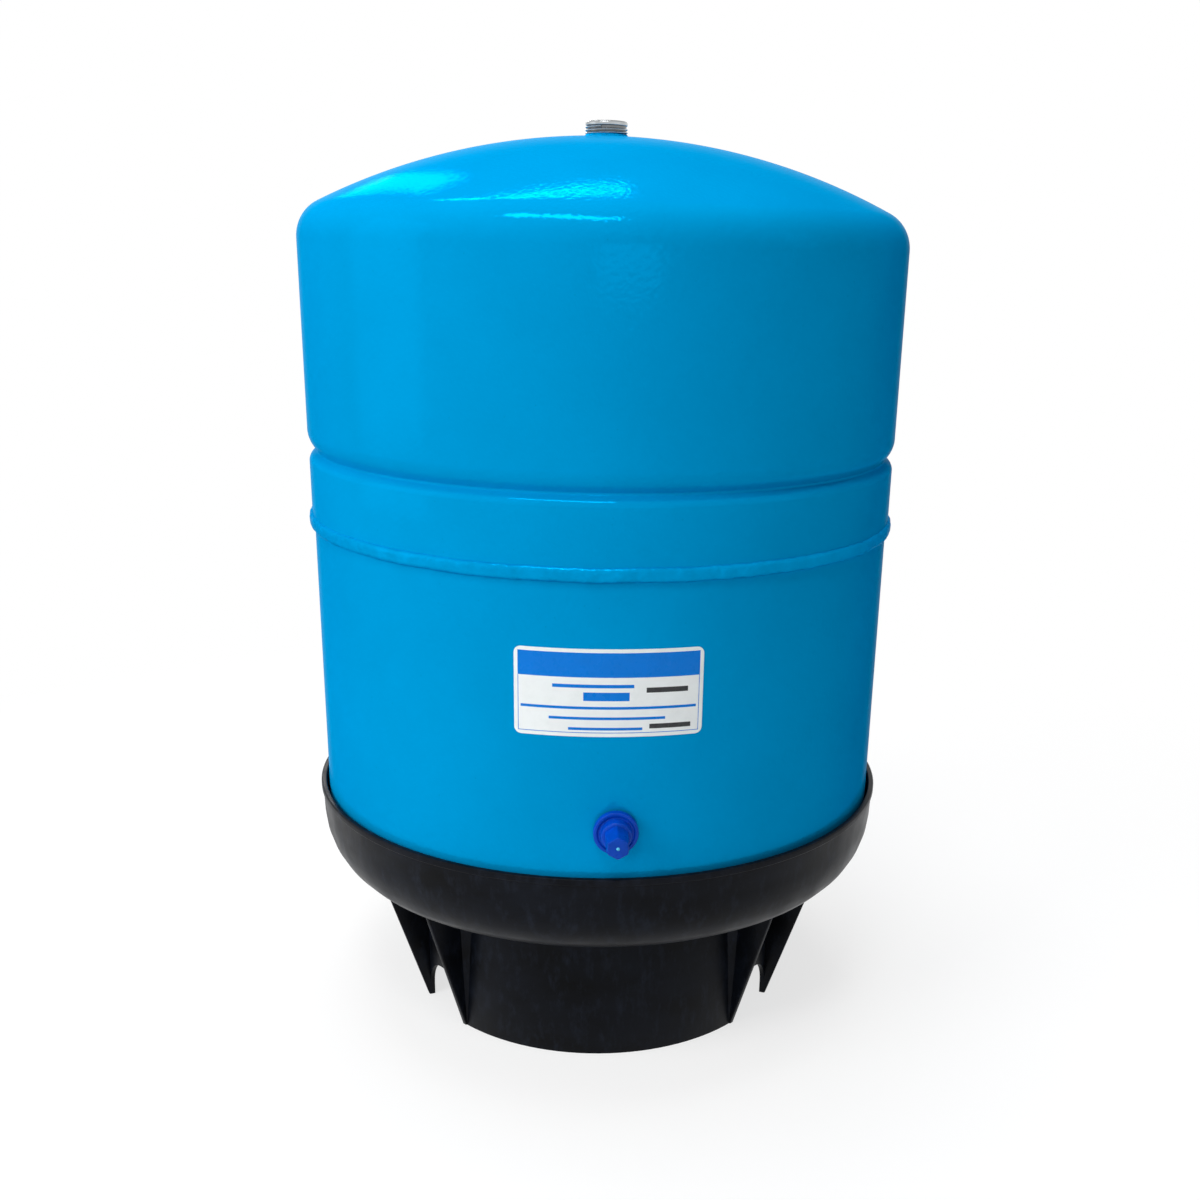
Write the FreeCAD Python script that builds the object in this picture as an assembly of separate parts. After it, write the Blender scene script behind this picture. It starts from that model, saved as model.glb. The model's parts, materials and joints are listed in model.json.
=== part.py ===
import FreeCAD, Part

import math
import os

# Well pressure tank: a steel diaphragm tank of about forty litres that stands in a moulded base.
# Millimetres, +Z up. The origin is on the tank's axis at the floor, and the air valve points along -Y.

V = FreeCAD.Vector
Z_AXIS = V(0, 0, 1)

# Steel shells
tank_radius = 190.0             # outside of the upper shell
shell_wall = 1.2
crown_radius = 397.0            # outside of both heads
knuckle_radius = 24.0
lower_tangent_z = 150.5         # where the lower shell's wall meets its knuckle
seam_z = 336.6                  # lower edge of the upper shell's skirt
groove_z = 381.2                # bottom of the rolled groove
upper_tangent_z = 507.6         # where the upper shell's wall meets its knuckle
skirt_step = 0.4                # the skirt under the groove is this much smaller in radius
lap_length = 24.0
lap_gap = 0.05

# Rolled groove, which grips the clench ring inside
groove_depth = 5.7
groove_upper_run = 8.0
groove_lower_run = 4.5
groove_upper_round = 14.0
groove_bottom_round = 1.4
groove_lower_round = 5.0

# Seam weld
weld_above = 5.5
weld_below = 3.2
weld_crown = 1.2

# Water connection
port_thread_radius = 13.2       # a three-quarter inch male pipe thread
port_neck_radius = 12.7        # plain neck under the thread
port_thread_clear = 0.4         # between the weld and the thread
port_bore_radius = 9.4
port_above_dome = 9.0
port_edge_round = 1.6
port_bore_round = 0.5
port_hole_gap = 0.05
port_collar_radius = 24.0
port_collar_thick = 3.0
port_tail_radius = 11.6
port_tail_length = 11.0
port_weld_width = 2.4
port_weld_height = 1.7
port_weld_hollow = 0.42         # share of its width and height at the middle of its face

# Liner, diaphragm and their ring
liner_thick = 1.8
liner_gap = 0.2
liner_pocket_gap = 2.6          # room for the seal ring round the port's tail
liner_lip_drop = 3.2
liner_lip_thick = 2.0
seal_round = 1.28
seal_side_gap = 0.02
ring_wall = 1.5
ring_half_height = 9.0
ring_flange = 7.0
ring_gap = 0.15
bead_radius = 3.4
diaphragm_thick = 2.4
diaphragm_wall_drop = 46.0
diaphragm_knuckle = 38.0
diaphragm_crown_radius = 340.0
clamp_gap = 0.1

# Air valve, along -Y in the lower shell's wall
valve_z = 187.0
bush_radius = 6.4
bush_inside = 8.0
bush_outside = 3.0
bush_hole_gap = 0.05
bush_weld_width = 1.6
stem_thread_radius = 3.85
stem_collar_radius = 5.6
stem_collar_thick = 2.0
stem_outside = 20.0
stem_fit_gap = 0.04
core_radius = 2.6
core_length = 8.5
core_recess = 0.8
core_spring_bore = 1.75
core_spring_depth = 5.2
pin_radius = 0.7
pin_fit_gap = 0.05
pin_head_radius = 1.55
pin_head_thick = 0.7
pin_head_recess = 1.1
pin_travel = 1.2
pin_cup_radius = 1.6
pin_cup_length = 1.2
pin_seal_radius = 1.85
pin_seal_thick = 0.8
pin_seal_gap = 0.05
air_bore_radius = 2.2
gasket_depth = 4.4
gasket_length = 1.3
gasket_groove = 0.45
spring_wire_radius = 0.17
spring_turns = 4.5
spring_end_gap = 0.03

# Valve cap, one moulding with a flange, a collar and a hexagonal grip
cap_length = 24.5
cap_flange_radius = 13.2
cap_flange_thick = 3.2
cap_rim_height = 0.9
cap_rim_width = 2.2
cap_flange_round = 0.9
cap_collar_radius = 9.0
cap_collar_length = 6.2
cap_collar_round = 2.0
cap_hex_flats = 14.0
cap_hex_slope = 0.75            # rise of the cone that trims the grip's corners
cap_thread_gap = 0.1
cap_bore_beyond_stem = 1.5
cap_counterbore_gap = 0.8
cap_counterbore_depth = 5.0
cap_pip_radius = 1.5
cap_pip_height = 0.5
gasket_ring_inner = 9.2
gasket_ring_outer = 12.2
gasket_ring_thick = 1.4
gasket_wall_gap = 0.1

# Rating label, a thin film on the lower shell
label_width = 108.0
label_height = 51.5
label_centre_z = 270.2
label_thick = 0.2
label_corner = 4.0
label_gap = 0.05
label_offset = -4.7             # its middle lies this far to the right of the valve

# Base stand, one moulding
stand_wall = 3.0
rim_gap = 1.45                  # between the lower shell and the bowl at its top
rim_top_z = 157.7
rim_taper = 1.8                 # the bowl is this much smaller in radius at its foot
rim_foot_round = 38.0
rim_floor_z = 101.2             # underside of the bowl
lip_proud = 1.0
lip_height = 4.5
foot_radius = 130.0
foot_edge_round = 0.6
stand_turn = -2.1               # the base stands turned by this many degrees from the valve
window_angle = 55.4             # centre of each window, left and right of the front and the back
window_width = 46.5
window_height = 32.0
seat_gap = 0.3
rib_count = 24
rib_thick = 2.4
rib_below_rim = 16.0
gusset_thick = 3.2
gusset_foot = 1.0
gusset_reach = 34.0
gusset_round = 1.0
wedge_across = 8.0              # the wedge between a gusset and the skirt, at its top
wedge_out = 5.5
wedge_foot_share = 0.06
wedge_bite = 0.5                # degrees that a wedge reaches into its gusset


# Outlines in the XZ plane. A corner is (x, z, round radius).
def turn_points(before, corner, after):
    """Start, middle and end of the arc that rounds a corner, or the corner itself when it is sharp."""
    point = V(corner[0], 0, corner[1])
    if corner[2] <= 0:
        return (point, None, point)
    back = (V(before[0], 0, before[1]) - point).normalize()
    ahead = (V(after[0], 0, after[1]) - point).normalize()
    half = back.getAngle(ahead) / 2
    reach = corner[2] / math.tan(half)
    middle_line = (back + ahead).normalize()
    centre = point + middle_line * (corner[2] / math.sin(half))
    return (point + back * reach, centre - middle_line * corner[2], point + ahead * reach)


def path_edges(corners, closed=False):
    """Lines and arcs through a row of corners. The two ends of an open path stay sharp."""
    count = len(corners)
    turns = []
    for i in range(count):
        corner = corners[i]
        if not closed and i in (0, count - 1):
            corner = (corner[0], corner[1], 0)
        turns.append(turn_points(corners[i - 1], corner, corners[(i + 1) % count]))
    edges = []
    for i in range(count):
        if turns[i][1] is not None:
            edges.append(Part.Arc(*turns[i]).toShape())
        if closed or i < count - 1:
            start = turns[i][2]
            end = turns[(i + 1) % count][0]
            if (end - start).Length > 1e-6:
                edges.append(Part.makeLine(start, end))
    return edges


def moved_left(corners, distance):
    """The same open path moved sideways to its left, so that it runs a wall's thickness away."""
    lines = []
    for a, b in zip(corners, corners[1:]):
        along = V(b[0] - a[0], 0, b[1] - a[1]).normalize()
        lines.append((along, V(-along.z, 0, along.x)))
    result = []
    for i, corner in enumerate(corners):
        if i in (0, len(corners) - 1):
            shift = lines[min(i, len(lines) - 1)][1] * distance
            result.append((corner[0] + shift.x, corner[1] + shift.z, 0))
            continue
        before, left_before = lines[i - 1]
        after, left_after = lines[i]
        to_left = before.x * after.z - before.z * after.x > 0
        bisector = (left_before + left_after).normalize()
        shift = bisector * (distance / bisector.dot(left_after))
        radius = corner[2] - distance if to_left else corner[2] + distance
        result.append((corner[0] + shift.x, corner[1] + shift.z, radius if corner[2] > 0 else 0))
    return result


def face_of(edges):
    return Part.Face(Part.Wire(Part.__sortEdges__(edges)))


def revolved(edges):
    """Solid of revolution about the tank's axis."""
    return face_of(edges).revolve(V(0, 0, 0), Z_AXIS, 360)


def ring(corners):
    """Solid of revolution from a closed row of corners."""
    return revolved(path_edges(corners, closed=True))


def link(first, second):
    return Part.makeLine(V(first[0], 0, first[1]), V(second[0], 0, second[1]))


# A pressed head: a knuckle arc from the wall, then a crown arc towards the axis
def crown_centre_drop(radius):
    """Distance along the axis from the head's tangent line back to the centre of its crown."""
    return math.sqrt((crown_radius - knuckle_radius) ** 2 - (radius - knuckle_radius) ** 2)


def crown_height(radius, inset, at_radius):
    """Height of the crown over the tangent line at a distance from the axis."""
    return math.sqrt((crown_radius - inset) ** 2 - at_radius ** 2) - crown_centre_drop(radius)


def head_edges(radius, tangent_z, up, inset, end_radius):
    """Knuckle and crown of a head whose outside radius is given, moved in by inset."""
    drop = crown_centre_drop(radius)
    meet = math.atan2(drop, radius - knuckle_radius)

    def knuckle(angle):
        reach = knuckle_radius - inset
        centre = radius - knuckle_radius
        return V(centre + reach * math.cos(angle), 0, tangent_z + up * reach * math.sin(angle))

    def crown(angle):
        reach = crown_radius - inset
        return V(reach * math.cos(angle), 0, tangent_z - up * drop + up * reach * math.sin(angle))

    last = math.acos(end_radius / (crown_radius - inset))
    return [
        Part.Arc(knuckle(0), knuckle(meet / 2), knuckle(meet)).toShape(),
        Part.Arc(crown(meet), crown((meet + last) / 2), crown(last)).toShape(),
    ]


def head_end(radius, tangent_z, up, inset, end_radius):
    return (end_radius, tangent_z + up * crown_height(radius, inset, end_radius))


# Sizes that follow from the driving ones
skirt_radius = tank_radius - skirt_step
lower_radius = skirt_radius - shell_wall - lap_gap
groove_radius = tank_radius - groove_depth
rim_radius = lower_radius + rim_gap + stand_wall
rim_foot_radius = rim_radius - rim_taper
port_hole_radius = port_neck_radius + port_hole_gap
dome_top_z = upper_tangent_z + crown_height(tank_radius, 0, 0)
port_top_z = dome_top_z + port_above_dome


def upper_wall(inset):
    """Skirt, groove and wall of the upper shell, from its lower edge to the knuckle."""
    corners = [
        (skirt_radius, seam_z, 0),
        (skirt_radius, groove_z - groove_lower_run, groove_lower_round),
        (groove_radius, groove_z, groove_bottom_round),
        (tank_radius, groove_z + groove_upper_run, groove_upper_round),
        (tank_radius, upper_tangent_z, 0),
    ]
    return moved_left(corners, inset)


def make_upper_shell():
    outer = upper_wall(0)
    inner = upper_wall(shell_wall)
    outside_end = head_end(tank_radius, upper_tangent_z, 1, 0, port_hole_radius)
    inside_end = head_end(tank_radius, upper_tangent_z, 1, shell_wall, port_hole_radius)
    edges = path_edges(outer) + head_edges(tank_radius, upper_tangent_z, 1, 0, port_hole_radius)
    edges += path_edges(inner) + head_edges(tank_radius, upper_tangent_z, 1, shell_wall, port_hole_radius)
    edges += [link(outer[0], inner[0]), link(outside_end, inside_end)]
    return revolved(edges)


def lower_body(inset, top_z):
    """Closed solid inside the lower shell's outer surface, moved in by inset."""
    side = lower_radius - inset
    bottom = head_end(lower_radius, lower_tangent_z, -1, inset, 0)
    edges = [link((side, top_z), (side, lower_tangent_z))]
    edges += head_edges(lower_radius, lower_tangent_z, -1, inset, 0)
    edges += [link(bottom, (0, top_z)), link((0, top_z), (side, top_z))]
    return revolved(edges)


def make_lower_shell():
    top = seam_z + lap_length
    shell = lower_body(0, top).cut(lower_body(shell_wall, top + 1))
    return shell.cut(along_valve([(0, lower_radius / 2, bush_radius + bush_hole_gap, lower_radius)]))


def make_seam_weld():
    """A bead that fills the step between the skirt's edge and the lower shell."""
    low = (lower_radius, seam_z - weld_below)
    high = (skirt_radius, seam_z + weld_above)
    bulge = V(skirt_radius + weld_crown, 0, seam_z + (weld_above - weld_below) / 2)
    edges = [Part.Arc(V(low[0], 0, low[1]), bulge, V(high[0], 0, high[1])).toShape()]
    edges += [link(high, (skirt_radius, seam_z)), link((skirt_radius, seam_z), (lower_radius, seam_z))]
    edges += [link((lower_radius, seam_z), low)]
    return revolved(edges)


# Water connection
def crown_ring(inset, thickness, inner_radius, outer_radius):
    """Part of the upper head between two radii, inset below its outer surface."""
    over = head_edges(tank_radius, upper_tangent_z, 1, inset, inner_radius)[1]
    under = head_edges(tank_radius, upper_tangent_z, 1, inset + thickness, inner_radius)[1]
    top = head_end(tank_radius, upper_tangent_z, 1, inset, inner_radius)
    low = head_end(tank_radius, upper_tangent_z, 1, inset + thickness, inner_radius)
    first = over.Vertexes[0].Point
    second = under.Vertexes[0].Point
    whole = revolved([over, under, link(top, low), Part.makeLine(first, second)])
    keep = Part.makeCylinder(outer_radius, port_top_z)
    return whole.common(keep)


def make_water_port():
    """The threaded tube and the collar under the head, one turning."""
    collar_inset = shell_wall + port_collar_thick
    collar_low_z = upper_tangent_z + crown_height(tank_radius, collar_inset, port_thread_radius)
    collar_middle_z = collar_low_z + port_collar_thick / 2
    tail_z = collar_low_z - port_tail_length
    neck_foot_z = head_end(tank_radius, upper_tangent_z, 1, 0, port_neck_radius)[1]
    thread_low_z = neck_foot_z + port_weld_height + port_thread_clear
    tube = ring([
        (port_bore_radius, tail_z, port_bore_round),
        (port_tail_radius, tail_z, port_bore_round),
        (port_tail_radius, collar_middle_z, 0),
        (port_neck_radius, collar_middle_z, 0),
        (port_neck_radius, thread_low_z, 0),
        (port_thread_radius, thread_low_z, 0),
        (port_thread_radius, port_top_z, port_edge_round),
        (port_bore_radius, port_top_z, port_bore_round),
    ])
    collar = crown_ring(shell_wall, port_collar_thick, port_bore_radius, port_collar_radius)
    return tube.fuse(collar).removeSplitter()


def make_port_weld():
    """A hollow fillet between the neck and the crown."""
    outer_radius = port_neck_radius + port_weld_width
    low = head_end(tank_radius, upper_tangent_z, 1, 0, outer_radius)
    foot = head_end(tank_radius, upper_tangent_z, 1, 0, port_neck_radius)
    top = (port_neck_radius, foot[1] + port_weld_height)
    out = port_weld_width * port_weld_hollow
    rise = port_weld_height * port_weld_hollow
    middle = V(port_neck_radius + out, 0, foot[1] + rise)
    below = low[1] - port_weld_height
    face = Part.Arc(V(low[0], 0, low[1]), middle, V(top[0], 0, top[1])).toShape()
    sides = [link(top, (top[0], below)), link((top[0], below), (low[0], below)), link((low[0], below), low)]
    bead = revolved([face] + sides)
    crown = head_edges(tank_radius, upper_tangent_z, 1, 0, 0)[1]
    reach = crown.Vertexes[0].Point
    end = crown.Vertexes[-1].Point
    base_z = upper_tangent_z
    under = [link((end.x, end.z), (0, base_z)), link((0, base_z), (reach.x, base_z))]
    dome = revolved([crown] + under + [link((reach.x, base_z), (reach.x, reach.z))])
    return bead.cut(dome)


# Liner, diaphragm and clench ring, all sealed inside
ring_outer_radius = groove_radius - shell_wall - ring_gap
liner_inset = shell_wall + liner_gap
liner_neck_radius = port_tail_radius + liner_pocket_gap
liner_top_inset = shell_wall + port_collar_thick + clamp_gap


def make_clench_ring():
    """A rolled steel channel, open to the inside, that the groove locks in place."""
    outside = [
        (ring_outer_radius - ring_flange, groove_z - ring_half_height, 0),
        (ring_outer_radius, groove_z - ring_half_height, ring_wall * 1.6),
        (ring_outer_radius, groove_z + ring_half_height, ring_wall * 1.6),
        (ring_outer_radius - ring_flange, groove_z + ring_half_height, 0),
    ]
    inside = moved_left(outside, ring_wall)
    edges = path_edges(outside) + path_edges(inside)
    edges += [link(outside[0], inside[0]), link(outside[-1], inside[-1])]
    return revolved(edges)


def make_liner():
    """A moulded lining of the upper shell with a rolled lower edge that the ring holds."""
    channel = ring_outer_radius - ring_wall - clamp_gap
    edge_z = groove_z + clamp_gap
    edge_top = groove_z + ring_half_height - ring_wall - clamp_gap
    neck = channel - ring_flange - liner_thick
    wall = tank_radius - liner_inset
    step_z = groove_z + ring_half_height + groove_upper_round + liner_thick
    outer = [
        (channel, edge_z, 0),
        (channel, edge_top, ring_wall),
        (neck + liner_thick, edge_top, 0),
        (neck + liner_thick, step_z - liner_thick, liner_thick),
        (wall, step_z, liner_thick * 2),
        (wall, upper_tangent_z, 0),
    ]
    inner = [
        (neck, edge_z, 0),
        (neck, step_z, liner_thick * 2),
        (wall - liner_thick, step_z + liner_thick * 2, liner_thick * 2),
        (wall - liner_thick, upper_tangent_z, 0),
    ]
    edges = path_edges(outer) + path_edges(inner) + [link(outer[0], inner[0])]
    end = port_collar_radius + liner_thick
    top_outer = head_end(tank_radius, upper_tangent_z, 1, liner_inset, end)
    top_inner = head_end(tank_radius, upper_tangent_z, 1, liner_inset + liner_thick, end)
    edges += head_edges(tank_radius, upper_tangent_z, 1, liner_inset, end)
    edges += head_edges(tank_radius, upper_tangent_z, 1, liner_inset + liner_thick, end)
    edges += [link(top_outer, top_inner)]
    body = revolved(edges)
    under_collar = crown_ring(liner_top_inset, liner_thick, liner_neck_radius, end)
    joggle_depth = liner_top_inset - liner_inset + liner_thick
    joggle = crown_ring(liner_inset, joggle_depth, end - clamp_gap / 2, end + liner_thick)
    seat_z = upper_tangent_z + crown_height(tank_radius, liner_top_inset, liner_neck_radius)
    lip_z = seat_z - liner_lip_drop
    pocket = ring([
        (liner_neck_radius, lip_z - liner_lip_thick, 0),
        (liner_neck_radius + liner_thick, lip_z - liner_lip_thick, 0),
        (liner_neck_radius + liner_thick, seat_z - clamp_gap, 0),
        (liner_neck_radius, seat_z - clamp_gap, 0),
    ])
    lip = ring([
        (port_tail_radius + clamp_gap, lip_z - liner_lip_thick, 0),
        (liner_neck_radius + clamp_gap, lip_z - liner_lip_thick, 0),
        (liner_neck_radius + clamp_gap, lip_z, 0),
        (port_tail_radius + clamp_gap, lip_z, 0),
    ])
    return body.fuse([joggle, under_collar, pocket, lip]).removeSplitter()


def make_port_seal():
    middle = port_tail_radius + seal_round + seal_side_gap
    collar_z = upper_tangent_z + crown_height(tank_radius, liner_top_inset, liner_neck_radius)
    seat = collar_z - liner_lip_drop + seal_round + seal_side_gap
    return Part.makeTorus(middle, seal_round, V(0, 0, seat))


def make_diaphragm():
    """A butyl diaphragm whose bead sits in the ring, hanging down as it does on a part-filled tank."""
    channel = ring_outer_radius - ring_wall - clamp_gap
    bead_z = groove_z - clamp_gap - bead_radius
    bead = Part.makeTorus(channel - bead_radius, bead_radius, V(0, 0, bead_z))
    wall = channel - ring_flange
    bottom_z = groove_z - diaphragm_wall_drop
    drop = math.sqrt((diaphragm_crown_radius - diaphragm_knuckle) ** 2 - (wall - diaphragm_knuckle) ** 2)
    meet = math.atan2(drop, wall - diaphragm_knuckle)

    def skin(inset):
        knuckle = diaphragm_knuckle - inset
        crown = diaphragm_crown_radius - inset
        centre_x = wall - diaphragm_knuckle

        def at_knuckle(angle):
            return V(centre_x + knuckle * math.cos(angle), 0, bottom_z - knuckle * math.sin(angle))

        def at_crown(angle):
            return V(crown * math.cos(angle), 0, bottom_z + drop - crown * math.sin(angle))

        top = V(wall - inset, 0, bead_z + bead_radius / 2)
        return [
            Part.makeLine(top, at_knuckle(0)),
            Part.Arc(at_knuckle(0), at_knuckle(meet / 2), at_knuckle(meet)).toShape(),
            Part.Arc(at_crown(meet), at_crown((meet + math.pi / 2) / 2), at_crown(math.pi / 2)).toShape(),
        ]

    outer = skin(0)
    inner = skin(diaphragm_thick)
    lowest = V(0, 0, bottom_z + drop - diaphragm_crown_radius)
    top_z = bead_z + bead_radius / 2
    edges = outer + inner + [link((wall, top_z), (wall - diaphragm_thick, top_z))]
    edges += [Part.makeLine(lowest, lowest + V(0, 0, diaphragm_thick))]
    web = ring([
        (wall - diaphragm_thick, bead_z - diaphragm_thick / 2, 0),
        (channel - bead_radius, bead_z - diaphragm_thick / 2, 0),
        (channel - bead_radius, bead_z + diaphragm_thick / 2, 0),
        (wall - diaphragm_thick, bead_z + diaphragm_thick / 2, 0),
    ])
    return bead.fuse([revolved(edges), web]).removeSplitter()


# Air valve. Its pieces are turned on the valve's own axis, and s is the distance from the tank's axis.
def placed_on_valve(solid):
    """Turns a solid made along +Z so that it lies along -Y at the valve's height."""
    placed = solid.copy()
    placed.rotate(V(0, 0, 0), V(1, 0, 0), 90)
    placed.translate(V(0, 0, valve_z))
    return placed


def turned(corners):
    """A turned piece on the valve's axis from closed (radius, s, round) corners."""
    return placed_on_valve(ring(corners))


def along_valve(bars):
    """Round bars along the valve's axis, each given as (inner radius, start s, outer radius, length)."""
    result = None
    for inner, start, outer, length in bars:
        bar = Part.makeCylinder(outer, length, V(0, 0, start))
        if inner > 0:
            bar = bar.cut(Part.makeCylinder(inner, length, V(0, 0, start)))
        result = bar if result is None else result.fuse(bar)
    return placed_on_valve(result)


bush_end = lower_radius + bush_outside
stem_end = lower_radius + stem_outside
core_top = stem_end - core_recess
core_low = core_top - core_length


def make_valve_bush():
    """The threaded boss that is welded into the wall."""
    bore = stem_thread_radius + stem_fit_gap
    inner_end = lower_radius - shell_wall - bush_inside
    return turned([
        (bore, inner_end, 0),
        (bush_radius, inner_end, 0.8),
        (bush_radius, bush_end, 0.5),
        (bore, bush_end, 0),
    ])


def make_valve_weld():
    """A fillet weld between the boss and the curved wall."""
    reach = bush_radius + bush_weld_width
    bead = turned([
        (bush_radius, lower_radius - shell_wall / 2, 0),
        (reach, lower_radius - shell_wall / 2, 0),
        (reach, lower_radius + 0.15, 0),
        (bush_radius, lower_radius + bush_weld_width, 0),
    ])
    return bead.cut(Part.makeCylinder(lower_radius, valve_z * 2))


def make_valve_stem():
    inner_end = lower_radius - shell_wall - bush_inside
    collar_end = bush_end + stem_collar_thick
    bore = core_radius + stem_fit_gap
    bore_low = core_low - pin_travel - pin_seal_thick - pin_cup_length - 1.0
    return turned([
        (air_bore_radius, inner_end, 0),
        (stem_thread_radius, inner_end, 0.4),
        (stem_thread_radius, bush_end, 0),
        (stem_collar_radius, bush_end, 0.3),
        (stem_collar_radius, collar_end, 0.5),
        (stem_thread_radius, collar_end, 0),
        (stem_thread_radius, stem_end, 0.5),
        (bore, stem_end, 0.2),
        (bore, bore_low, 0),
        (air_bore_radius, bore_low, 0),
    ])


def make_core_barrel():
    """The core's housing: a wide bore for the spring, a narrow one for the pin, a gasket groove."""
    groove_top = core_top - gasket_depth
    groove_low = groove_top - gasket_length
    return turned([
        (core_spring_bore, core_top, 0.1),
        (core_radius, core_top, 0.25),
        (core_radius, groove_top, 0),
        (core_radius - gasket_groove, groove_top, 0),
        (core_radius - gasket_groove, groove_low, 0),
        (core_radius, groove_low, 0),
        (core_radius, core_low, 0.2),
        (pin_radius + pin_fit_gap, core_low, 0),
        (pin_radius + pin_fit_gap, core_top - core_spring_depth, 0),
        (core_spring_bore, core_top - core_spring_depth, 0),
    ])


def make_core_gasket():
    top = core_top - gasket_depth
    return turned([
        (core_radius - gasket_groove, top - gasket_length, 0),
        (core_radius, top - gasket_length, 0.1),
        (core_radius, top, 0.1),
        (core_radius - gasket_groove, top, 0),
    ])


pin_head_top = core_top - pin_head_recess
pin_seal_top = core_low - pin_seal_gap
pin_seal_low = pin_seal_top - pin_seal_thick


def make_valve_pin():
    head_low = pin_head_top - pin_head_thick
    cup_low = pin_seal_low - pin_cup_length
    return turned([
        (0, cup_low, 0),
        (pin_cup_radius, cup_low, 0.3),
        (pin_cup_radius, pin_seal_low, 0),
        (pin_radius, pin_seal_low, 0),
        (pin_radius, head_low, 0),
        (pin_head_radius, head_low, 0),
        (pin_head_radius, pin_head_top, 0.15),
        (pin_radius, pin_head_top, 0),
        (pin_radius, core_top + 0.3, 0.2),
        (0, core_top + 0.3, 0),
    ])


def make_pin_seal():
    return along_valve([(pin_radius, pin_seal_low, pin_seal_radius, pin_seal_thick)])


def make_core_spring():
    """The coil that pushes the pin outwards, round wire between the housing's shoulder and the pin's head."""
    low = core_top - core_spring_depth + spring_end_gap + spring_wire_radius
    high = pin_head_top - pin_head_thick - spring_end_gap - spring_wire_radius
    radius = (core_spring_bore + pin_radius) / 2
    helix = Part.makeHelix((high - low) / spring_turns, high - low, radius)
    wire = Part.Wire(Part.makeCircle(spring_wire_radius, V(radius, 0, 0), V(0, 1, 0)))
    coil = Part.Wire(helix.Edges).makePipeShell([wire], True, True)
    coil.translate(V(0, 0, low))
    return placed_on_valve(coil)


# Valve cap
cap_back = lower_radius + gasket_wall_gap + gasket_ring_thick
cap_end = cap_back + cap_length


def hexagon(flats, start, length):
    """A hexagonal bar with its flats above and below."""
    corner = flats / math.sqrt(3)
    turns = [math.radians(60 * i) for i in range(7)]
    points = [V(corner * math.cos(turn), corner * math.sin(turn), start) for turn in turns]
    return Part.Face(Part.makePolygon(points)).extrude(V(0, 0, length))


def make_valve_cap():
    flange_front = cap_back + cap_flange_thick
    collar_front = flange_front + cap_collar_length
    body = ring([
        (0, cap_back, 0),
        (cap_flange_radius, cap_back, cap_flange_round / 2),
        (cap_flange_radius, flange_front + cap_rim_height, cap_flange_round),
        (cap_flange_radius - cap_rim_width, flange_front + cap_rim_height, cap_flange_round / 2),
        (cap_flange_radius - cap_rim_width, flange_front, 0),
        (cap_collar_radius, flange_front, cap_flange_round / 2),
        (cap_collar_radius, collar_front, cap_collar_round),
        (0, collar_front, 0),
    ])
    grip = hexagon(cap_hex_flats, cap_back, cap_length)
    round_off = ring([
        (0, cap_back, 0),
        (cap_flange_radius, cap_back, 0),
        (cap_flange_radius, cap_end - (cap_flange_radius - cap_hex_flats / 2) * cap_hex_slope, 0),
        (cap_hex_flats / 2, cap_end, 0),
        (0, cap_end, 0),
    ])
    pip = Part.makeSphere(cap_pip_radius, V(0, 0, cap_end - cap_pip_radius + cap_pip_height))
    bore_depth = stem_end + cap_bore_beyond_stem - cap_back
    bore = Part.makeCylinder(stem_thread_radius + cap_thread_gap, bore_depth, V(0, 0, cap_back))
    pocket_radius = bush_radius + bush_weld_width + cap_counterbore_gap
    pocket = Part.makeCylinder(pocket_radius, cap_counterbore_depth, V(0, 0, cap_back))
    solid = body.fuse([grip.common(round_off), pip]).cut(bore).cut(pocket)
    return placed_on_valve(solid.removeSplitter())


def make_cap_gasket():
    """A flat rubber ring in front, shaped to the round wall behind."""
    blank = along_valve([(gasket_ring_inner, lower_radius - shell_wall, gasket_ring_outer,
                          shell_wall + gasket_wall_gap + gasket_ring_thick)])
    return blank.cut(Part.makeCylinder(lower_radius + gasket_wall_gap, valve_z * 2))


# Rating label
def make_rating_label():
    """A film that follows the wall, cut to a rounded rectangle."""
    inner_radius = lower_radius + label_gap
    base = V(0, 0, label_centre_z - label_height)
    sleeve = Part.makeCylinder(inner_radius + label_thick, label_height * 2, base)
    sleeve = sleeve.cut(Part.makeCylinder(inner_radius, label_height * 2, base))
    half = label_width / 2
    corners = [
        (-half, label_centre_z - label_height / 2, label_corner),
        (half, label_centre_z - label_height / 2, label_corner),
        (half, label_centre_z + label_height / 2, label_corner),
        (-half, label_centre_z + label_height / 2, label_corner),
    ]
    window = face_of(path_edges(corners, closed=True)).extrude(V(0, -tank_radius, 0))
    film = sleeve.common(window)
    film.rotate(V(0, 0, 0), Z_AXIS, math.degrees(label_offset / lower_radius))
    return film


# Base stand
def radial_plate(corners, thickness, angle):
    """A plate in a plane through the axis, from closed (radius, z, round) corners, turned to an angle."""
    plate = face_of(path_edges(corners, closed=True)).extrude(V(0, thickness, 0))
    plate.translate(V(0, -thickness / 2, 0))
    plate.rotate(V(0, 0, 0), Z_AXIS, angle)
    return plate


def window_cut(angle):
    """An arched opening through the skirt, straight-sided at the foot, at an angle from the front."""
    half = window_width / 2
    spring_line = window_height - half
    arch = Part.Arc(V(half, 0, spring_line), V(0, 0, window_height), V(-half, 0, spring_line)).toShape()
    foot = link((-half, 0), (half, 0))
    edges = [arch, link((-half, spring_line), (-half, 0)), foot, link((half, 0), (half, spring_line))]
    cut = face_of(edges).extrude(V(0, -(foot_radius + stand_wall), 0))
    cut.rotate(V(0, 0, 0), Z_AXIS, angle)
    return cut


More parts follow.
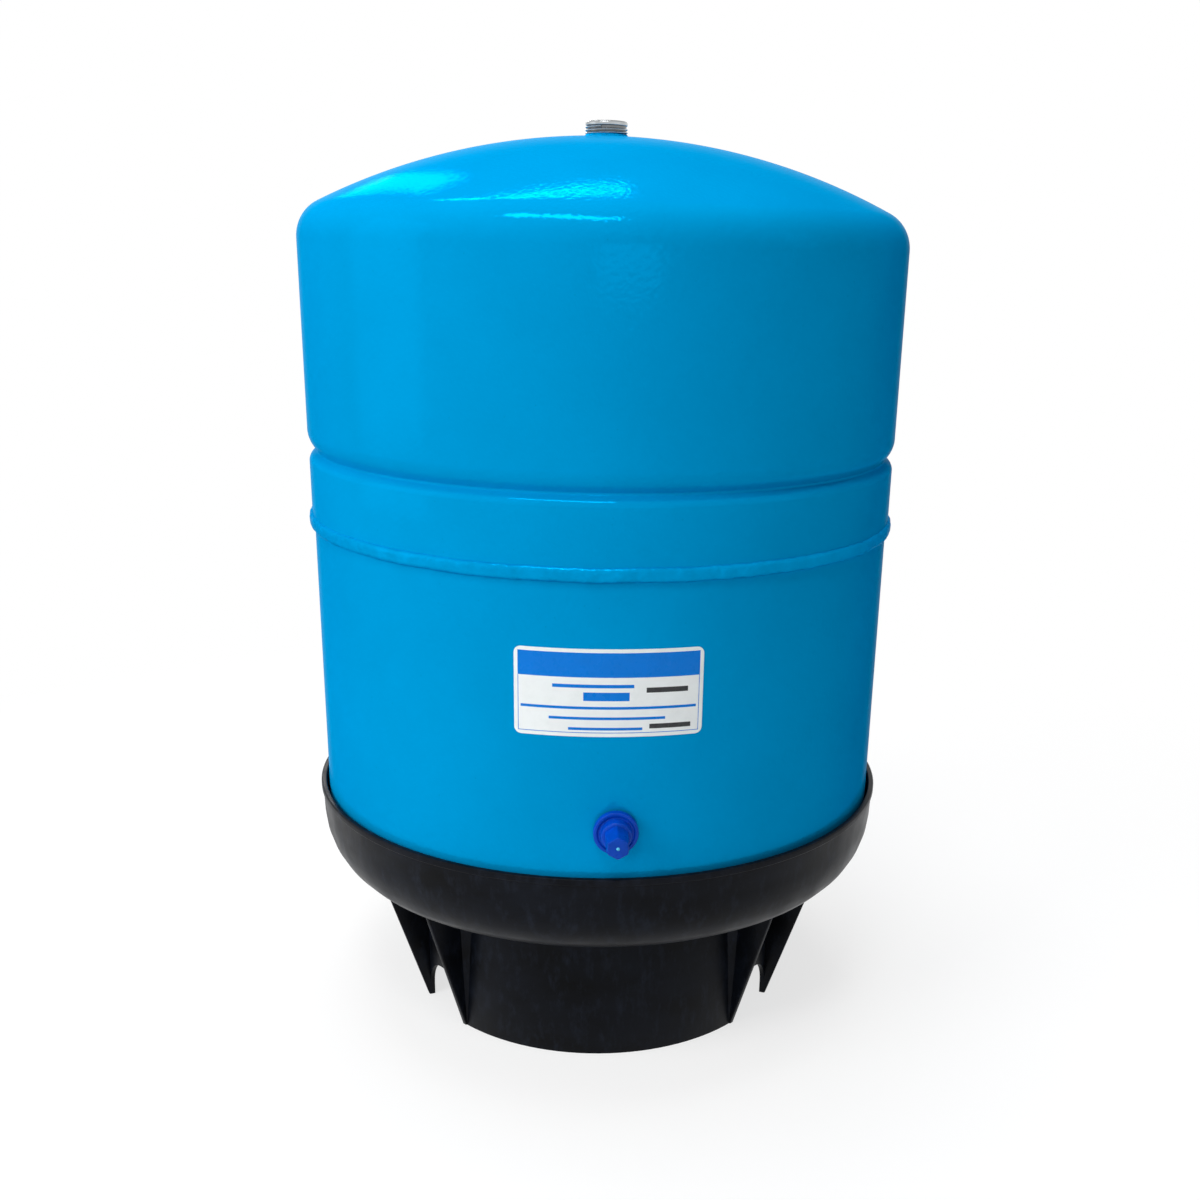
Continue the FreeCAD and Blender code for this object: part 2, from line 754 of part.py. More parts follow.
def root_wedge(angle, side):
    """A wedge that grows upwards in the corner between the skirt's outer face and a gusset's face."""
    face_angle = angle + side * math.degrees(gusset_thick / 2 / foot_radius)
    top = rim_floor_z + stand_wall / 2
    rings = []
    for z, share in ((0, wedge_foot_share), (top, 1)):
        across = math.degrees(wedge_across * share / foot_radius)
        inside = foot_radius - stand_wall / 2
        points = [
            (inside, face_angle - side * wedge_bite),
            (foot_radius + wedge_out * share, face_angle - side * wedge_bite),
            (foot_radius, face_angle + side * across),
            (inside, face_angle + side * across),
        ]
        corners = [V(r * math.cos(math.radians(a)), r * math.sin(math.radians(a)), z) for r, a in points]
        rings.append(Part.makePolygon(corners + corners[:1]))
    return Part.makeLoft(rings, True, True)


def make_base_stand():
    foot_inner = foot_radius - stand_wall
    bowl_outside = [
        (foot_inner, rim_floor_z, 0),
        (rim_foot_radius, rim_floor_z, rim_foot_round),
        (rim_radius, rim_top_z, 0),
    ]
    bowl_inside = moved_left(bowl_outside, stand_wall)
    edges = path_edges(bowl_outside) + path_edges(bowl_inside)
    edges += [link(bowl_outside[0], bowl_inside[0]), link(bowl_outside[-1], bowl_inside[-1])]
    bowl = revolved(edges)
    lip = ring([
        (rim_radius - stand_wall / 2, rim_top_z - lip_height, 0),
        (rim_radius + lip_proud, rim_top_z - lip_height, lip_proud / 2),
        (rim_radius + lip_proud, rim_top_z, lip_proud),
        (rim_radius - stand_wall / 2, rim_top_z, 0),
    ])
    seat_top = lower_tangent_z
    skirt = ring([
        (foot_inner, 0, 0),
        (foot_radius, 0, foot_edge_round),
        (foot_radius, seat_top, 0),
        (foot_inner, seat_top, 0),
    ])
    pieces = [lip, skirt]
    bowl_middle = moved_left(bowl_outside, stand_wall / 2)
    rib_top_z = rim_top_z - rib_below_rim
    foot_corner = bowl_middle[1]
    rim_corner = bowl_middle[2]
    taper = (rim_corner[0] - foot_corner[0]) / (rim_corner[1] - foot_corner[1])
    rib_corners = [
        (foot_radius - stand_wall / 2, foot_corner[1], 0),
        foot_corner,
        (foot_corner[0] + taper * (rib_top_z - foot_corner[1]), rib_top_z, 0),
        (foot_radius - stand_wall / 2, rib_top_z, 0),
    ]
    for i in range(rib_count):
        pieces.append(radial_plate(rib_corners, rib_thick, (i + 0.5) * 360 / rib_count))
    stand = bowl.fuse(pieces)
    windows = []
    edge_angle = math.degrees(math.asin(window_width / 2 / foot_radius))
    gusset_corners = [
        (foot_inner + stand_wall / 2, 0, 0),
        (foot_radius + gusset_foot, 0, gusset_round),
        (foot_radius + gusset_reach, rim_floor_z + stand_wall / 2, 0),
        (foot_inner + stand_wall / 2, rim_floor_z + stand_wall / 2, 0),
    ]
    gussets = []
    for centre in (window_angle, 180 - window_angle, 180 + window_angle, 360 - window_angle):
        windows.append(window_cut(centre))
        for side in (-1, 1):
            angle = centre + side * (edge_angle + math.degrees(gusset_thick / 2 / foot_radius)) - 90
            gussets.append(radial_plate(gusset_corners, gusset_thick, angle))
            gussets.append(root_wedge(angle, side))
    stand = stand.cut(windows)
    stand = stand.fuse(gussets)
    stand = stand.cut(lower_body(-seat_gap, seam_z)).removeSplitter()
    stand.rotate(V(0, 0, 0), Z_AXIS, stand_turn)
    return stand


def make_all():
    return {
        "upper_shell": make_upper_shell(),
        "lower_shell": make_lower_shell(),
        "seam_weld": make_seam_weld(),
        "water_port": make_water_port(),
        "port_weld": make_port_weld(),
        "port_seal": make_port_seal(),
        "liner": make_liner(),
        "diaphragm": make_diaphragm(),
        "clench_ring": make_clench_ring(),
        "valve_bush": make_valve_bush(),
        "valve_weld": make_valve_weld(),
        "valve_stem": make_valve_stem(),
        "valve_core_barrel": make_core_barrel(),
        "valve_core_gasket": make_core_gasket(),
        "valve_pin": make_valve_pin(),
        "valve_pin_seal": make_pin_seal(),
        "valve_core_spring": make_core_spring(),
        "valve_cap": make_valve_cap(),
        "valve_cap_gasket": make_cap_gasket(),
        "rating_label": make_rating_label(),
        "base_stand": make_base_stand(),
    }


os.makedirs("parts", exist_ok=True)
for name, shape in make_all().items():
    if shape.ShapeType != "Solid" and len(shape.Solids) == 1:
        shape = shape.Solids[0]
    print(name, len(shape.Solids), shape.isValid(), round(shape.Volume, 1), shape.BoundBox)
    shape.exportStep("parts/" + name + ".step")
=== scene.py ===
import json
import math

import bmesh
import bpy
from mathutils import Matrix, Vector, noise


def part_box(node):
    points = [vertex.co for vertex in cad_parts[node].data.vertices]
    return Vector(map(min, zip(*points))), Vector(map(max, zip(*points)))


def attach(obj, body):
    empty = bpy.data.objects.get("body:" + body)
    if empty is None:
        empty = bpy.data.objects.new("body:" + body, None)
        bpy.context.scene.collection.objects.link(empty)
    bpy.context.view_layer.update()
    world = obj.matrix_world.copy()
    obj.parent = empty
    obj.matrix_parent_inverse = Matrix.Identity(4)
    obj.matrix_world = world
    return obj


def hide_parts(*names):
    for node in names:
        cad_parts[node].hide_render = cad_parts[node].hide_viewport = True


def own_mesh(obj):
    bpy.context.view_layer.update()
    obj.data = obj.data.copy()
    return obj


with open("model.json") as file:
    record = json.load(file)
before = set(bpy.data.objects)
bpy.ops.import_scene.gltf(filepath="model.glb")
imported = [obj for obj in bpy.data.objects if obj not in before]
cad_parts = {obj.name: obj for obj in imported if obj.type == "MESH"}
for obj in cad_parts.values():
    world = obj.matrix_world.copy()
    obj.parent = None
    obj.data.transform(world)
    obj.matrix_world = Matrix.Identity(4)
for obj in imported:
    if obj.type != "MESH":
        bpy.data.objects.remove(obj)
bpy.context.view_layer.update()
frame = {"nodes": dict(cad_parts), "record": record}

bl_info = {
    "name": "Well pressure tank",
    "version": (1, 0, 0),
    "blender": (4, 5, 0),
    "location": "View3D > Sidebar > Tank",
    "description": "Dresses a steel pressure tank on its moulded stand",
    "category": "Add Mesh",
}

# Lengths are written in millimetres below. This turns them into metres.
MM = 0.001


def length(name, millimetres, text):
    """A size that the user can change."""
    return bpy.props.FloatProperty(name=name, description=text, default=millimetres * MM,
                                   unit="LENGTH", precision=4)


def angle(name, degrees, text):
    """An angle that the user can change, given in degrees and kept in radians."""
    return bpy.props.FloatProperty(name=name, description=text, default=math.radians(degrees),
                                   unit="ROTATION")


def colour(name, red, green, blue, text):
    return bpy.props.FloatVectorProperty(name=name, description=text, default=(red, green, blue),
                                         subtype="COLOR", size=3, min=0.0, max=1.0)


def count(name, number, text):
    return bpy.props.IntProperty(name=name, description=text, default=number, min=1)


def share(name, number, text, unit="NONE"):
    """A plain number that the user can change."""
    return bpy.props.FloatProperty(name=name, description=text, default=number, unit=unit)


class TankSizes(bpy.types.PropertyGroup):
    """The two steel shells and the seam between them."""
    radius: length("Radius", 190.0, "Outside of the upper shell")
    wall: length("Wall", 1.2, "Thickness of the steel")
    crown_radius: length("Crown radius", 397.0, "Outside of both heads")
    knuckle_radius: length("Knuckle radius", 24.0, "Turn from the wall into a head")
    lower_tangent: length("Lower tangent height", 150.5, "Where the lower wall meets its knuckle")
    seam: length("Seam height", 336.6, "Lower edge of the upper shell's skirt")
    groove: length("Groove height", 381.2, "Bottom of the rolled groove")
    upper_tangent: length("Upper tangent height", 507.6, "Where the upper wall meets its knuckle")
    skirt_step: length("Skirt step", 0.4, "How much smaller the skirt is in radius")
    lap: length("Lap", 24.0, "How far the lower shell goes up inside the skirt")
    groove_depth: length("Groove depth", 5.7, "Depth of the rolled groove")
    groove_below: length("Groove below", 4.5, "From the groove's bottom down to the skirt's wall")
    groove_above: length("Groove above", 8.0, "From the groove's bottom up to the upper wall")
    groove_round: length("Groove round", 1.4, "Round of the groove's bottom")
    skirt_round: length("Skirt round", 5.0, "Round of the skirt's shoulder under the groove")
    shoulder_round: length("Shoulder round", 14.0, "Round of the upper wall's shoulder over the groove")
    weld_above: length("Weld above", 5.5, "Weld bead above the skirt's edge")
    weld_below: length("Weld below", 3.2, "Weld bead below the skirt's edge")
    weld_crown: length("Weld crown", 1.9, "How far the bead stands proud of the skirt")
    weld_round: length("Weld round", 3.0, "Round of the bead")
    weld_tuck: length("Weld tuck", 0.3, "How far the bead's edges reach under the paint")
    weld_lump: length("Weld lump", 0.7, "Height of the bead's lumps")
    weld_drift: length("Weld drift", 0.5, "How far the bead wanders up and down")
    weld_ripple: length("Weld ripple", 0.35, "Height of the shorter waves in the bead")
    around: count("Steps around", 224, "Faces around each shell")


class PortSizes(bpy.types.PropertyGroup):
    """The threaded water connection."""
    thread_radius: length("Thread radius", 13.2, "Outside of the thread")
    neck_radius: length("Neck radius", 12.7, "Plain neck under the thread")
    bore_radius: length("Bore radius", 9.4, "Bore of the connection")
    pitch: length("Thread pitch", 1.81, "Rise of one turn of the thread")
    thread_depth: length("Thread depth", 0.85, "Depth of the thread")
    thread_turns: share("Thread turns", 3.7, "Turns of the thread")
    collar_height: length("Collar height", 2.4, "Plain collar over the thread")
    collar_set: length("Collar set", 0.15, "How much smaller the collar is in radius than the thread")
    collar_slope: length("Collar slope", 0.5, "Height of the slope under the collar")
    edge_round: length("Edge round", 1.6, "Round of the top edge")


class ValveSizes(bpy.types.PropertyGroup):
    """The air valve's screw cap."""
    height: length("Height", 187.0, "Height of the valve over the floor")
    cap_length: length("Cap length", 24.5, "Length of the cap")
    flange_radius: length("Flange radius", 13.2, "Radius of the cap's flange")
    flange_thick: length("Flange thickness", 3.2, "Thickness of the cap's flange")
    rim_height: length("Rim height", 0.9, "Height of the rim round the flange")
    rim_width: length("Rim width", 2.2, "Width of the rim round the flange")
    collar_radius: length("Collar radius", 9.0, "Radius of the collar")
    collar_length: length("Collar length", 6.2, "Length of the collar")
    collar_round: length("Collar round", 2.0, "Round of the collar's front edge")
    flats: length("Across flats", 14.0, "Width of the hexagonal grip")
    grip_round: length("Grip round", 0.9, "Round of the grip's long edges")
    tip_round: length("Tip round", 0.8, "Round of the grip's end")
    gate_radius: length("Gate radius", 1.5, "Radius of the moulding gate's pip")
    spring_wire: length("Spring wire", 0.17, "Radius of the core spring's wire")
    spring_turns: share("Spring turns", 4.5, "Turns of the core's spring")
    taper: share("Taper", 0.86, "Width of the grip's end over its root")
    bore_radius: length("Bore radius", 3.95, "Threaded bore of the cap")
    bore_depth: length("Bore depth", 19.6, "Depth of the bore from the cap's back")
    counterbore_radius: length("Counterbore radius", 6.4, "Wide mouth of the bore")
    counterbore_depth: length("Counterbore depth", 5.0, "Depth of the wide mouth")


class LabelSizes(bpy.types.PropertyGroup):
    """The film on the lower shell."""
    width: length("Width", 108.0, "Width along the wall")
    height: length("Height", 51.5, "Height of the film")
    centre: length("Centre height", 270.2, "Height of its middle over the floor")
    corner: length("Corner", 4.0, "Round of its corners")
    offset: length("Offset", -4.7, "Distance of its middle from the valve, along the wall")
    thick: length("Thickness", 0.2, "Thickness of the film")


class StandSizes(bpy.types.PropertyGroup):
    """The moulded stand."""
    wall: length("Wall", 3.0, "Thickness of the walls")
    rim_radius: length("Rim radius", 192.8, "Outside of the bowl at its top")
    rim_top: length("Rim height", 157.7, "Top of the bowl")
    rim_foot_radius: length("Bowl foot radius", 191.0, "Outside of the bowl at its foot")
    rim_foot_round: length("Bowl foot round", 38.0, "Round of the bowl's foot")
    rim_floor: length("Bowl floor height", 101.2, "Underside of the bowl")
    lip_proud: length("Lip", 1.0, "How far the lip stands proud")
    lip_height: length("Lip height", 4.5, "Height of the lip")
    foot_radius: length("Foot radius", 130.0, "Outside of the foot")
    window_width: length("Window width", 46.5, "Width of each arched window")
    window_height: length("Window height", 32.0, "Height of each arched window")
    gusset_thick: length("Gusset thickness", 3.2, "Thickness of a gusset")
    gusset_reach: length("Gusset reach", 34.0, "How far a gusset flares at its top")
    gusset_foot: length("Gusset foot", 1.0, "How far a gusset stands out at the floor")
    wedge_across: length("Wedge width", 8.0, "Width of a root wedge at its top, along the foot")
    wedge_out: length("Wedge depth", 5.5, "Depth of a root wedge at its top, along the gusset")
    turn: angle("Turn", -2.1, "Turn of the stand from the valve")
    window_angle: angle("Window angle", 55.4, "Centre of a window from the front")
    ribs: count("Ribs", 24, "Seat ribs in the bowl")
    rib_thick: length("Rib thickness", 2.4, "Thickness of a seat rib")
    edge_soft: length("Edge softness", 0.5, "Bevel on the foot's and the gussets' edges")
    around: count("Steps around", 224, "Faces around the bowl")


class Finishes(bpy.types.PropertyGroup):
    """Colours of the finishes."""
    paint: colour("Paint", 0.0, 0.3, 0.64, "Enamel of the shells")
    stand: colour("Stand plastic", 0.0026, 0.0034, 0.0056, "Moulded stand")
    cap: colour("Cap plastic", 0.0, 0.062, 0.5, "Air valve cap")
    band: colour("Label band", 0.0, 0.2, 0.74, "Coloured band of the label")
    film: colour("Label film", 0.93, 0.97, 0.97, "White of the label")
    grey: colour("Label dark bars", 0.05, 0.052, 0.055, "Plain dark bars of the label")
    steel: colour("Steel", 0.6, 0.63, 0.64, "Bare metal of the connection")
    brass: colour("Brass", 0.62, 0.42, 0.16, "Valve metal")


class StageSettings(bpy.types.PropertyGroup):
    """The camera."""
    distance: length("Distance", 910.67, "Camera from the tank's axis")
    height: length("Height", 508.10, "Camera over the floor")
    orbit: angle("Orbit", -2.93, "Camera's place round the tank")
    pitch: angle("Pitch", 18.6399, "How far the camera looks down")
    yaw: angle("Yaw", -2.0978, "How far the camera looks aside")
    roll: angle("Roll", -1.3064, "Roll of the camera")
    lens: share("Lens", 40.8467, "Focal length for a 36 mm sensor", "CAMERA")
    shift_x: share("Shift X", -0.039582, "Sideways shift of the frame")
    shift_y: share("Shift Y", 0.086764, "Upward shift of the frame")


PREFIX = "tank_"

# Gap that is left where two shapes would otherwise share a face
FIT = 0.05 * MM

# Points that lie nearer than this count as one: round the axis, and along a wire.
CLOSE = 1e-6
CLOSER = 1e-7

GROUPS = {"sizes": TankSizes, "port": PortSizes, "valve": ValveSizes, "label": LabelSizes,
          "stand": StandSizes, "finish": Finishes, "stage": StageSettings}


def settings(group):
    return getattr(bpy.context.scene, PREFIX + group)


# Shaping
def bevelled(bm, geom, width, steps, kind, clamp=False):
    bmesh.ops.bevel(bm, geom=geom, offset=width, offset_type="OFFSET", segments=steps, profile=0.5,
                    affect=kind, material=-1, clamp_overlap=clamp)


def cut(bm, way, at):
    """Splits the faces with a plane across one axis."""
    bmesh.ops.bisect_plane(bm, geom=bm.verts[:] + bm.edges[:] + bm.faces[:],
                           plane_co=[part * at for part in way], plane_no=way, dist=CLOSER)


def fused(bm, distance):
    bmesh.ops.remove_doubles(bm, verts=bm.verts[:], dist=distance)


def outward(bm):
    bmesh.ops.recalc_face_normals(bm, faces=bm.faces[:])


def capped(bm):
    """Closes the open ends and turns every face outwards."""
    bmesh.ops.holes_fill(bm, edges=[edge for edge in bm.edges if edge.is_boundary], sides=0)
    outward(bm)


def verts_of(result, key="geom"):
    """The vertices that an operator has made."""
    return [part for part in result[key] if isinstance(part, bmesh.types.BMVert)]


def outline(bm, corners):
    """A wire in the XZ plane through corners of (radius, height, round), each corner rounded."""
    verts = [bm.verts.new((corner[0], 0.0, corner[1])) for corner in corners]
    for first, second in zip(verts, verts[1:]):
        bm.edges.new((first, second))
    last = verts[-1]
    for i in range(1, len(corners) - 1):
        if corners[i][2] <= 0:
            continue
        here = Vector(corners[i][:2])
        back = (Vector(corners[i - 1][:2]) - here).normalized()
        ahead = (Vector(corners[i + 1][:2]) - here).normalized()
        reach = corners[i][2] / math.tan(back.angle(ahead) / 2)
        bevelled(bm, [verts[i]], reach, 6, "VERTICES")
    return last


def swept(bm, vert, centre, turn, steps):
    """Carries a wire on from a vertex along an arc in the XZ plane. A positive turn goes from +X to +Z."""
    made = bmesh.ops.spin(bm, geom=[vert], cent=(centre[0], 0.0, centre[1]), axis=(0.0, -1.0, 0.0),
                          angle=turn, steps=steps)
    return verts_of(made, "geom_last")[0]


def turned(bm, steps):
    """Spins a wire a full turn about the tank's axis and faces it outwards."""
    bmesh.ops.spin(bm, geom=bm.verts[:] + bm.edges[:], cent=(0, 0, 0), axis=(0, 0, 1),
                   angle=2 * math.pi, steps=steps, use_merge=True)
    fused(bm, CLOSE)
    face_out(bm)


def coiled(bm, turns, steps, rise):
    """Spins a closed wire upwards along a helix about the tank's axis and closes its ends."""
    bmesh.ops.spin(bm, geom=bm.verts[:] + bm.edges[:], cent=(0, 0, 0), axis=(0, 0, 1),
                   angle=2 * math.pi * turns, steps=steps, dvec=(0, 0, rise))
    capped(bm)


def face_out(bm):
    """Turns an open sheet's faces away from the tank's axis."""
    outward(bm)
    outermost = max(bm.faces, key=lambda face: face.calc_center_median().xy.length)
    if outermost.normal.xy.dot(outermost.calc_center_median().xy) < 0:
        bmesh.ops.reverse_faces(bm, faces=bm.faces[:])


def closed_ring(bm, corners, steps):
    """A solid ring from a closed row of corners."""
    first = corners[0]
    outline(bm, list(corners) + [(first[0], first[1], 0)])
    fused(bm, CLOSER)
    turned(bm, steps)


def thickened(bm, wall):
    bmesh.ops.solidify(bm, geom=bm.faces[:], thickness=wall)
    outward(bm)


def merged(target, part):
    """Adds one bmesh to another and frees it."""
    mesh = bpy.data.meshes.new("part")
    part.to_mesh(mesh)
    part.free()
    target.from_mesh(mesh)
    bpy.data.meshes.remove(mesh)


def softened(bm, width):
    """Rounds every edge that turns by more than 40 degrees."""
    limit = math.radians(40)
    sharp = [edge for edge in bm.edges if len(edge.link_faces) == 2 and edge.calc_face_angle() > limit]
    bevelled(bm, sharp, width, 2, "EDGES", clamp=True)


def on_valve(bm, height):
    """Tips a piece that was built upwards forward from the tank's axis, at a height."""
    turn = Matrix.Translation((0, 0, height)) @ Matrix.Rotation(math.radians(90), 4, "X")
    bmesh.ops.transform(bm, matrix=turn, verts=bm.verts[:])


def piece(name, bm, body, materials, nodes, crease=38.0):
    """Makes the finished object, smooth but for its sharp edges, gives it its body and slot, and hides the
    nodes that it stands in for.
    """
    for face in bm.faces:
        face.smooth = True
    for edge in bm.edges:
        if len(edge.link_faces) == 2:
            edge.smooth = edge.calc_face_angle() < math.radians(crease)
    mesh = bpy.data.meshes.new(name)
    bm.to_mesh(mesh)
    bm.free()
    for finish in materials:
        mesh.materials.append(finish)
    made = bpy.data.objects.new(name, mesh)
    bpy.context.scene.collection.objects.link(made)
    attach(made, body)
    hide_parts(*nodes)
    return made


# Finishes
class Recipe:
    """A material's nodes, with short calls to add and join them."""

    def __init__(self, name):
        self.material = bpy.data.materials.new(name)
        self.material.use_nodes = True
        self.tree = self.material.node_tree
        self.shader = next(node for node in self.tree.nodes if node.type == "BSDF_PRINCIPLED")
        self.place = self.add("ShaderNodeTexCoord").outputs["Object"]
        self.relief = None

    def add(self, kind, **inputs):
        return self.fill(self.tree.nodes.new(kind), **inputs)

    def fill(self, node, **inputs):
        """Sets or joins a node's inputs. An underscore in a name stands for a space."""
        for key, value in inputs.items():
            self.put(node.inputs[key.replace("_", " ")], value)
        return node

    def put(self, socket, value):
        if isinstance(value, bpy.types.NodeSocket):
            self.tree.links.new(value, socket)
        else:
            socket.default_value = value

    def surface(self, **inputs):
        self.fill(self.shader, **inputs)

    def stretched(self, x, y, z):
        return self.add("ShaderNodeMapping", Vector=self.place, Scale=(x, y, z)).outputs["Vector"]

    def clouds(self, size, detail=2.0, place=None, rough=0.5):
        """Soft noise whose blotches are about one size across, in metres."""
        return self.add("ShaderNodeTexNoise", Vector=place or self.place, Scale=1.0 / size, Detail=detail,
                        Roughness=rough).outputs["Fac"]

    def blotches(self, size, detail=3.0):
        """Clouds as a number that runs the whole way from 0 to 1."""
        return self.between(self.clouds(size, detail), 0.0, 1.0)

    def cells(self, size):
        """Distance from the nearest of many scattered points."""
        return self.add("ShaderNodeTexVoronoi", Vector=self.place, Scale=1.0 / size).outputs["Distance"]

    def between(self, factor, low, high, start=0.3, end=0.7):
        """A number that goes from low to high as the factor goes from start to end."""
        return self.add("ShaderNodeMapRange", Value=factor, From_Min=start, From_Max=end, To_Min=low,
                        To_Max=high).outputs["Result"]

    def far_from(self, centre, place=None):
        """Distance from a point, in metres."""
        node = self.add("ShaderNodeVectorMath")
        node.operation = "DISTANCE"
        self.put(node.inputs[0], place or self.place)
        self.put(node.inputs[1], centre)
        return node.outputs["Value"]

    def mixed(self, factor, first, second):
        """A colour between two others, each given as red, green and blue or as a socket."""
        node = self.add("ShaderNodeMix")
        node.data_type = "RGBA"
        self.put(node.inputs[0], factor)
        for socket, value in ((node.inputs[6], first), (node.inputs[7], second)):
            self.put(socket, value if isinstance(value, bpy.types.NodeSocket) else (*value, 1.0))
        return node.outputs[2]

    def bump(self, height, strength, depth):
        """Adds relief over what is already there."""
        node = self.add("ShaderNodeBump", Height=height, Strength=strength, Distance=depth)
        if self.relief:
            self.fill(node, Normal=self.relief)
        self.relief = node.outputs["Normal"]
        self.surface(Normal=self.relief)


def tint(name):
    return tuple(getattr(settings("finish"), name))


def shade(base, factor):
    """A colour made darker or paler."""
    return tuple(min(1.0, part * factor) for part in base)


# The enamel's reflections are tinted, so they stay blue on its edges.
SHEEN = (0.02, 0.4, 0.65, 1.0)


def paint_finish():
    """Glossy enamel over steel, with orange peel, slow waves in the sheet and a few specks of dust."""
    base = tint("paint")
    mix = Recipe("tank_paint")
    tone = mix.blotches(0.09)
    film = mix.mixed(tone, shade(base, 0.96), shade(base, 1.04))
    speck = mix.between(mix.cells(0.009), 1.0, 0.0, 0.03, 0.06)
    mix.surface(Base_Color=mix.mixed(speck, film, shade(base, 0.86)), Metallic=0.16,
                Roughness=mix.between(mix.clouds(0.03, 4.0), 0.055, 0.095),
                Specular_IOR_Level=0.0, Specular_Tint=SHEEN)
    mix.bump(mix.clouds(0.07, 1.0), 0.2, 0.0012)
    mix.bump(mix.clouds(0.0026, 1.5), 0.3, 0.0004)
    return mix.material


def mottled(name, dark, pale, tone, rough, grain, **extra):
    """A soft play of colour and roughness under a fine grain.

    Each starts with a size and a detail. Rough ends with its range, and grain with strength and depth.
    """
    mix = Recipe(name)
    mix.surface(Base_Color=mix.mixed(mix.blotches(*tone), dark, pale),
                Roughness=mix.between(mix.clouds(*rough[:2]), *rough[2:]), **extra)
    mix.bump(mix.clouds(*grain[:2]), *grain[2:])
    return mix.material


def weld_finish():
    """The same enamel over a rough bead, which breaks up its gloss."""
    base = tint("paint")
    return mottled("weld_paint", shade(base, 0.93), shade(base, 1.05), (0.012, 3.0), (0.008, 3.0, 0.1, 0.2),
                   (0.005, 3.0, 0.9, 0.001), Metallic=0.3, Specular_IOR_Level=0.0, Specular_Tint=SHEEN)


def brass_finish():
    """Turned brass, a little stained."""
    base = tint("brass")
    return mottled("valve_brass", shade(base, 0.7), base, (0.004, 4.0), (0.002, 2.0, 0.22, 0.4),
                   (0.0005, 2.0, 0.2, 0.00005), Metallic=1.0)


def rubber_finish():
    """Matte black rubber."""
    return mottled("black_rubber", (0.012, 0.012, 0.013), (0.024, 0.024, 0.025), (0.01, 4.0),
                   (0.005, 3.0, 0.55, 0.75), (0.0009, 3.0, 0.3, 0.0001))


def liner_finish():
    """Pale moulded plastic."""
    return mottled("liner_plastic", (0.66, 0.68, 0.68), (0.76, 0.77, 0.76), (0.04, 3.0),
                   (0.01, 3.0, 0.32, 0.45), (0.002, 2.0, 0.15, 0.0001))


def film_finish(name, ink):
    """Printed film with a faint grain and slightly uneven ink."""
    return mottled(name, shade(ink, 0.96), shade(ink, 1.02), (0.01, 4.0), (0.004, 3.0, 0.24, 0.34),
                   (0.0015, 2.0, 0.08, 0.00005), Specular_IOR_Level=0.15)


def steel_finish(name="port_steel", lower=0.2, upper=0.34):
    """Turned, plated steel: fine rings round the axis, faint stains, and painted shade that darkens the
    thread roots.
    """
    base = tint("steel")
    port = settings("port")
    mix = Recipe(name)
    from_axis = mix.far_from((0, 0, 0), mix.stretched(1.0, 1.0, 0.0))
    # Painted shade: the metal darkens from the thread's crest down to its roots, and stays dark everywhere
    # nearer the axis.
    crest = mix.between(from_axis, 0.0, 1.0, port.thread_radius - port.thread_depth, port.thread_radius)
    rings = mix.clouds(0.0006, 2.0, mix.stretched(0.05, 0.05, 1.0))
    stain = mix.blotches(0.006, 4.0)
    bright = mix.mixed(stain, shade(base, 0.82), base)
    mix.surface(Base_Color=mix.mixed(crest, shade(base, 0.3), bright), Metallic=1.0,
                Roughness=mix.between(rings, lower, upper))
    mix.bump(rings, 0.25, 0.0001)
    return mix.material


def cap_finish():
    """Bright moulded plastic with faint flow marks, and a painted highlight, a pale cyan spot, on the
    gate's pip at its tip.
    """
    base = tint("cap")
    mix = Recipe("cap_plastic")
    tone = mix.blotches(0.008)
    tip = (0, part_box("valve_cap")[0].y, settings("valve").height)
    # Painted highlight: a pale cyan spot on the gate's pip at the cap's tip.
    gate = mix.between(mix.far_from(tip), 1.0, 0.0, 0.9 * MM, 1.3 * MM)
    body = mix.mixed(tone, shade(base, 0.85), shade(base, 1.1))
    mix.surface(Base_Color=mix.mixed(gate, body, (0.12, 0.6, 0.85)),
                Roughness=mix.between(mix.clouds(0.003, 3.0), 0.26, 0.38),
                Specular_IOR_Level=0.15, Subsurface_Weight=0.08, Subsurface_Scale=0.002)
    mix.bump(mix.clouds(0.0011, 3.0), 0.25, 0.00012)
    return mix.material


def stand_finish():
    """Black moulded plastic: satin, with pale scuffs, flow marks and a fine grain."""
    base = tint("stand")
    mix = Recipe("stand_plastic")
    flow = mix.clouds(0.05, 4.0, mix.stretched(1.0, 1.0, 2.2))
    smears = mix.clouds(0.006, 6.0, mix.stretched(1.0, 1.0, 0.4), 0.65)
    scuff = mix.between(smears, 0.0, 1.0, 0.5, 0.8)
    tone = mix.mixed(mix.between(flow, 0.0, 1.0), shade(base, 0.35), shade(base, 2.0))
    mix.surface(Base_Color=mix.mixed(scuff, tone, shade(base, 4.5)),
                Roughness=mix.between(mix.clouds(0.02, 5.0), 0.3, 0.44), Specular_IOR_Level=0.08)
    mix.bump(flow, 0.12, 0.001)
    mix.bump(mix.clouds(0.0014, 3.0), 0.16, 0.00015)
    return mix.material


# Shells
def head(bm, start, radius, tangent, up, steps, end_radius):
    """Carries the wire through the knuckle and the crown to a radius, up for 1 and down for -1."""
    tank = settings("sizes")
    drop = math.sqrt((tank.crown_radius - tank.knuckle_radius) ** 2 - (radius - tank.knuckle_radius) ** 2)
    meet = math.atan2(drop, radius - tank.knuckle_radius)
    last = math.acos(end_radius / tank.crown_radius)
    vert = swept(bm, start, (radius - tank.knuckle_radius, tangent), up * meet, 14)
    return swept(bm, vert, (0.0, tangent - up * drop), up * (last - meet), steps)


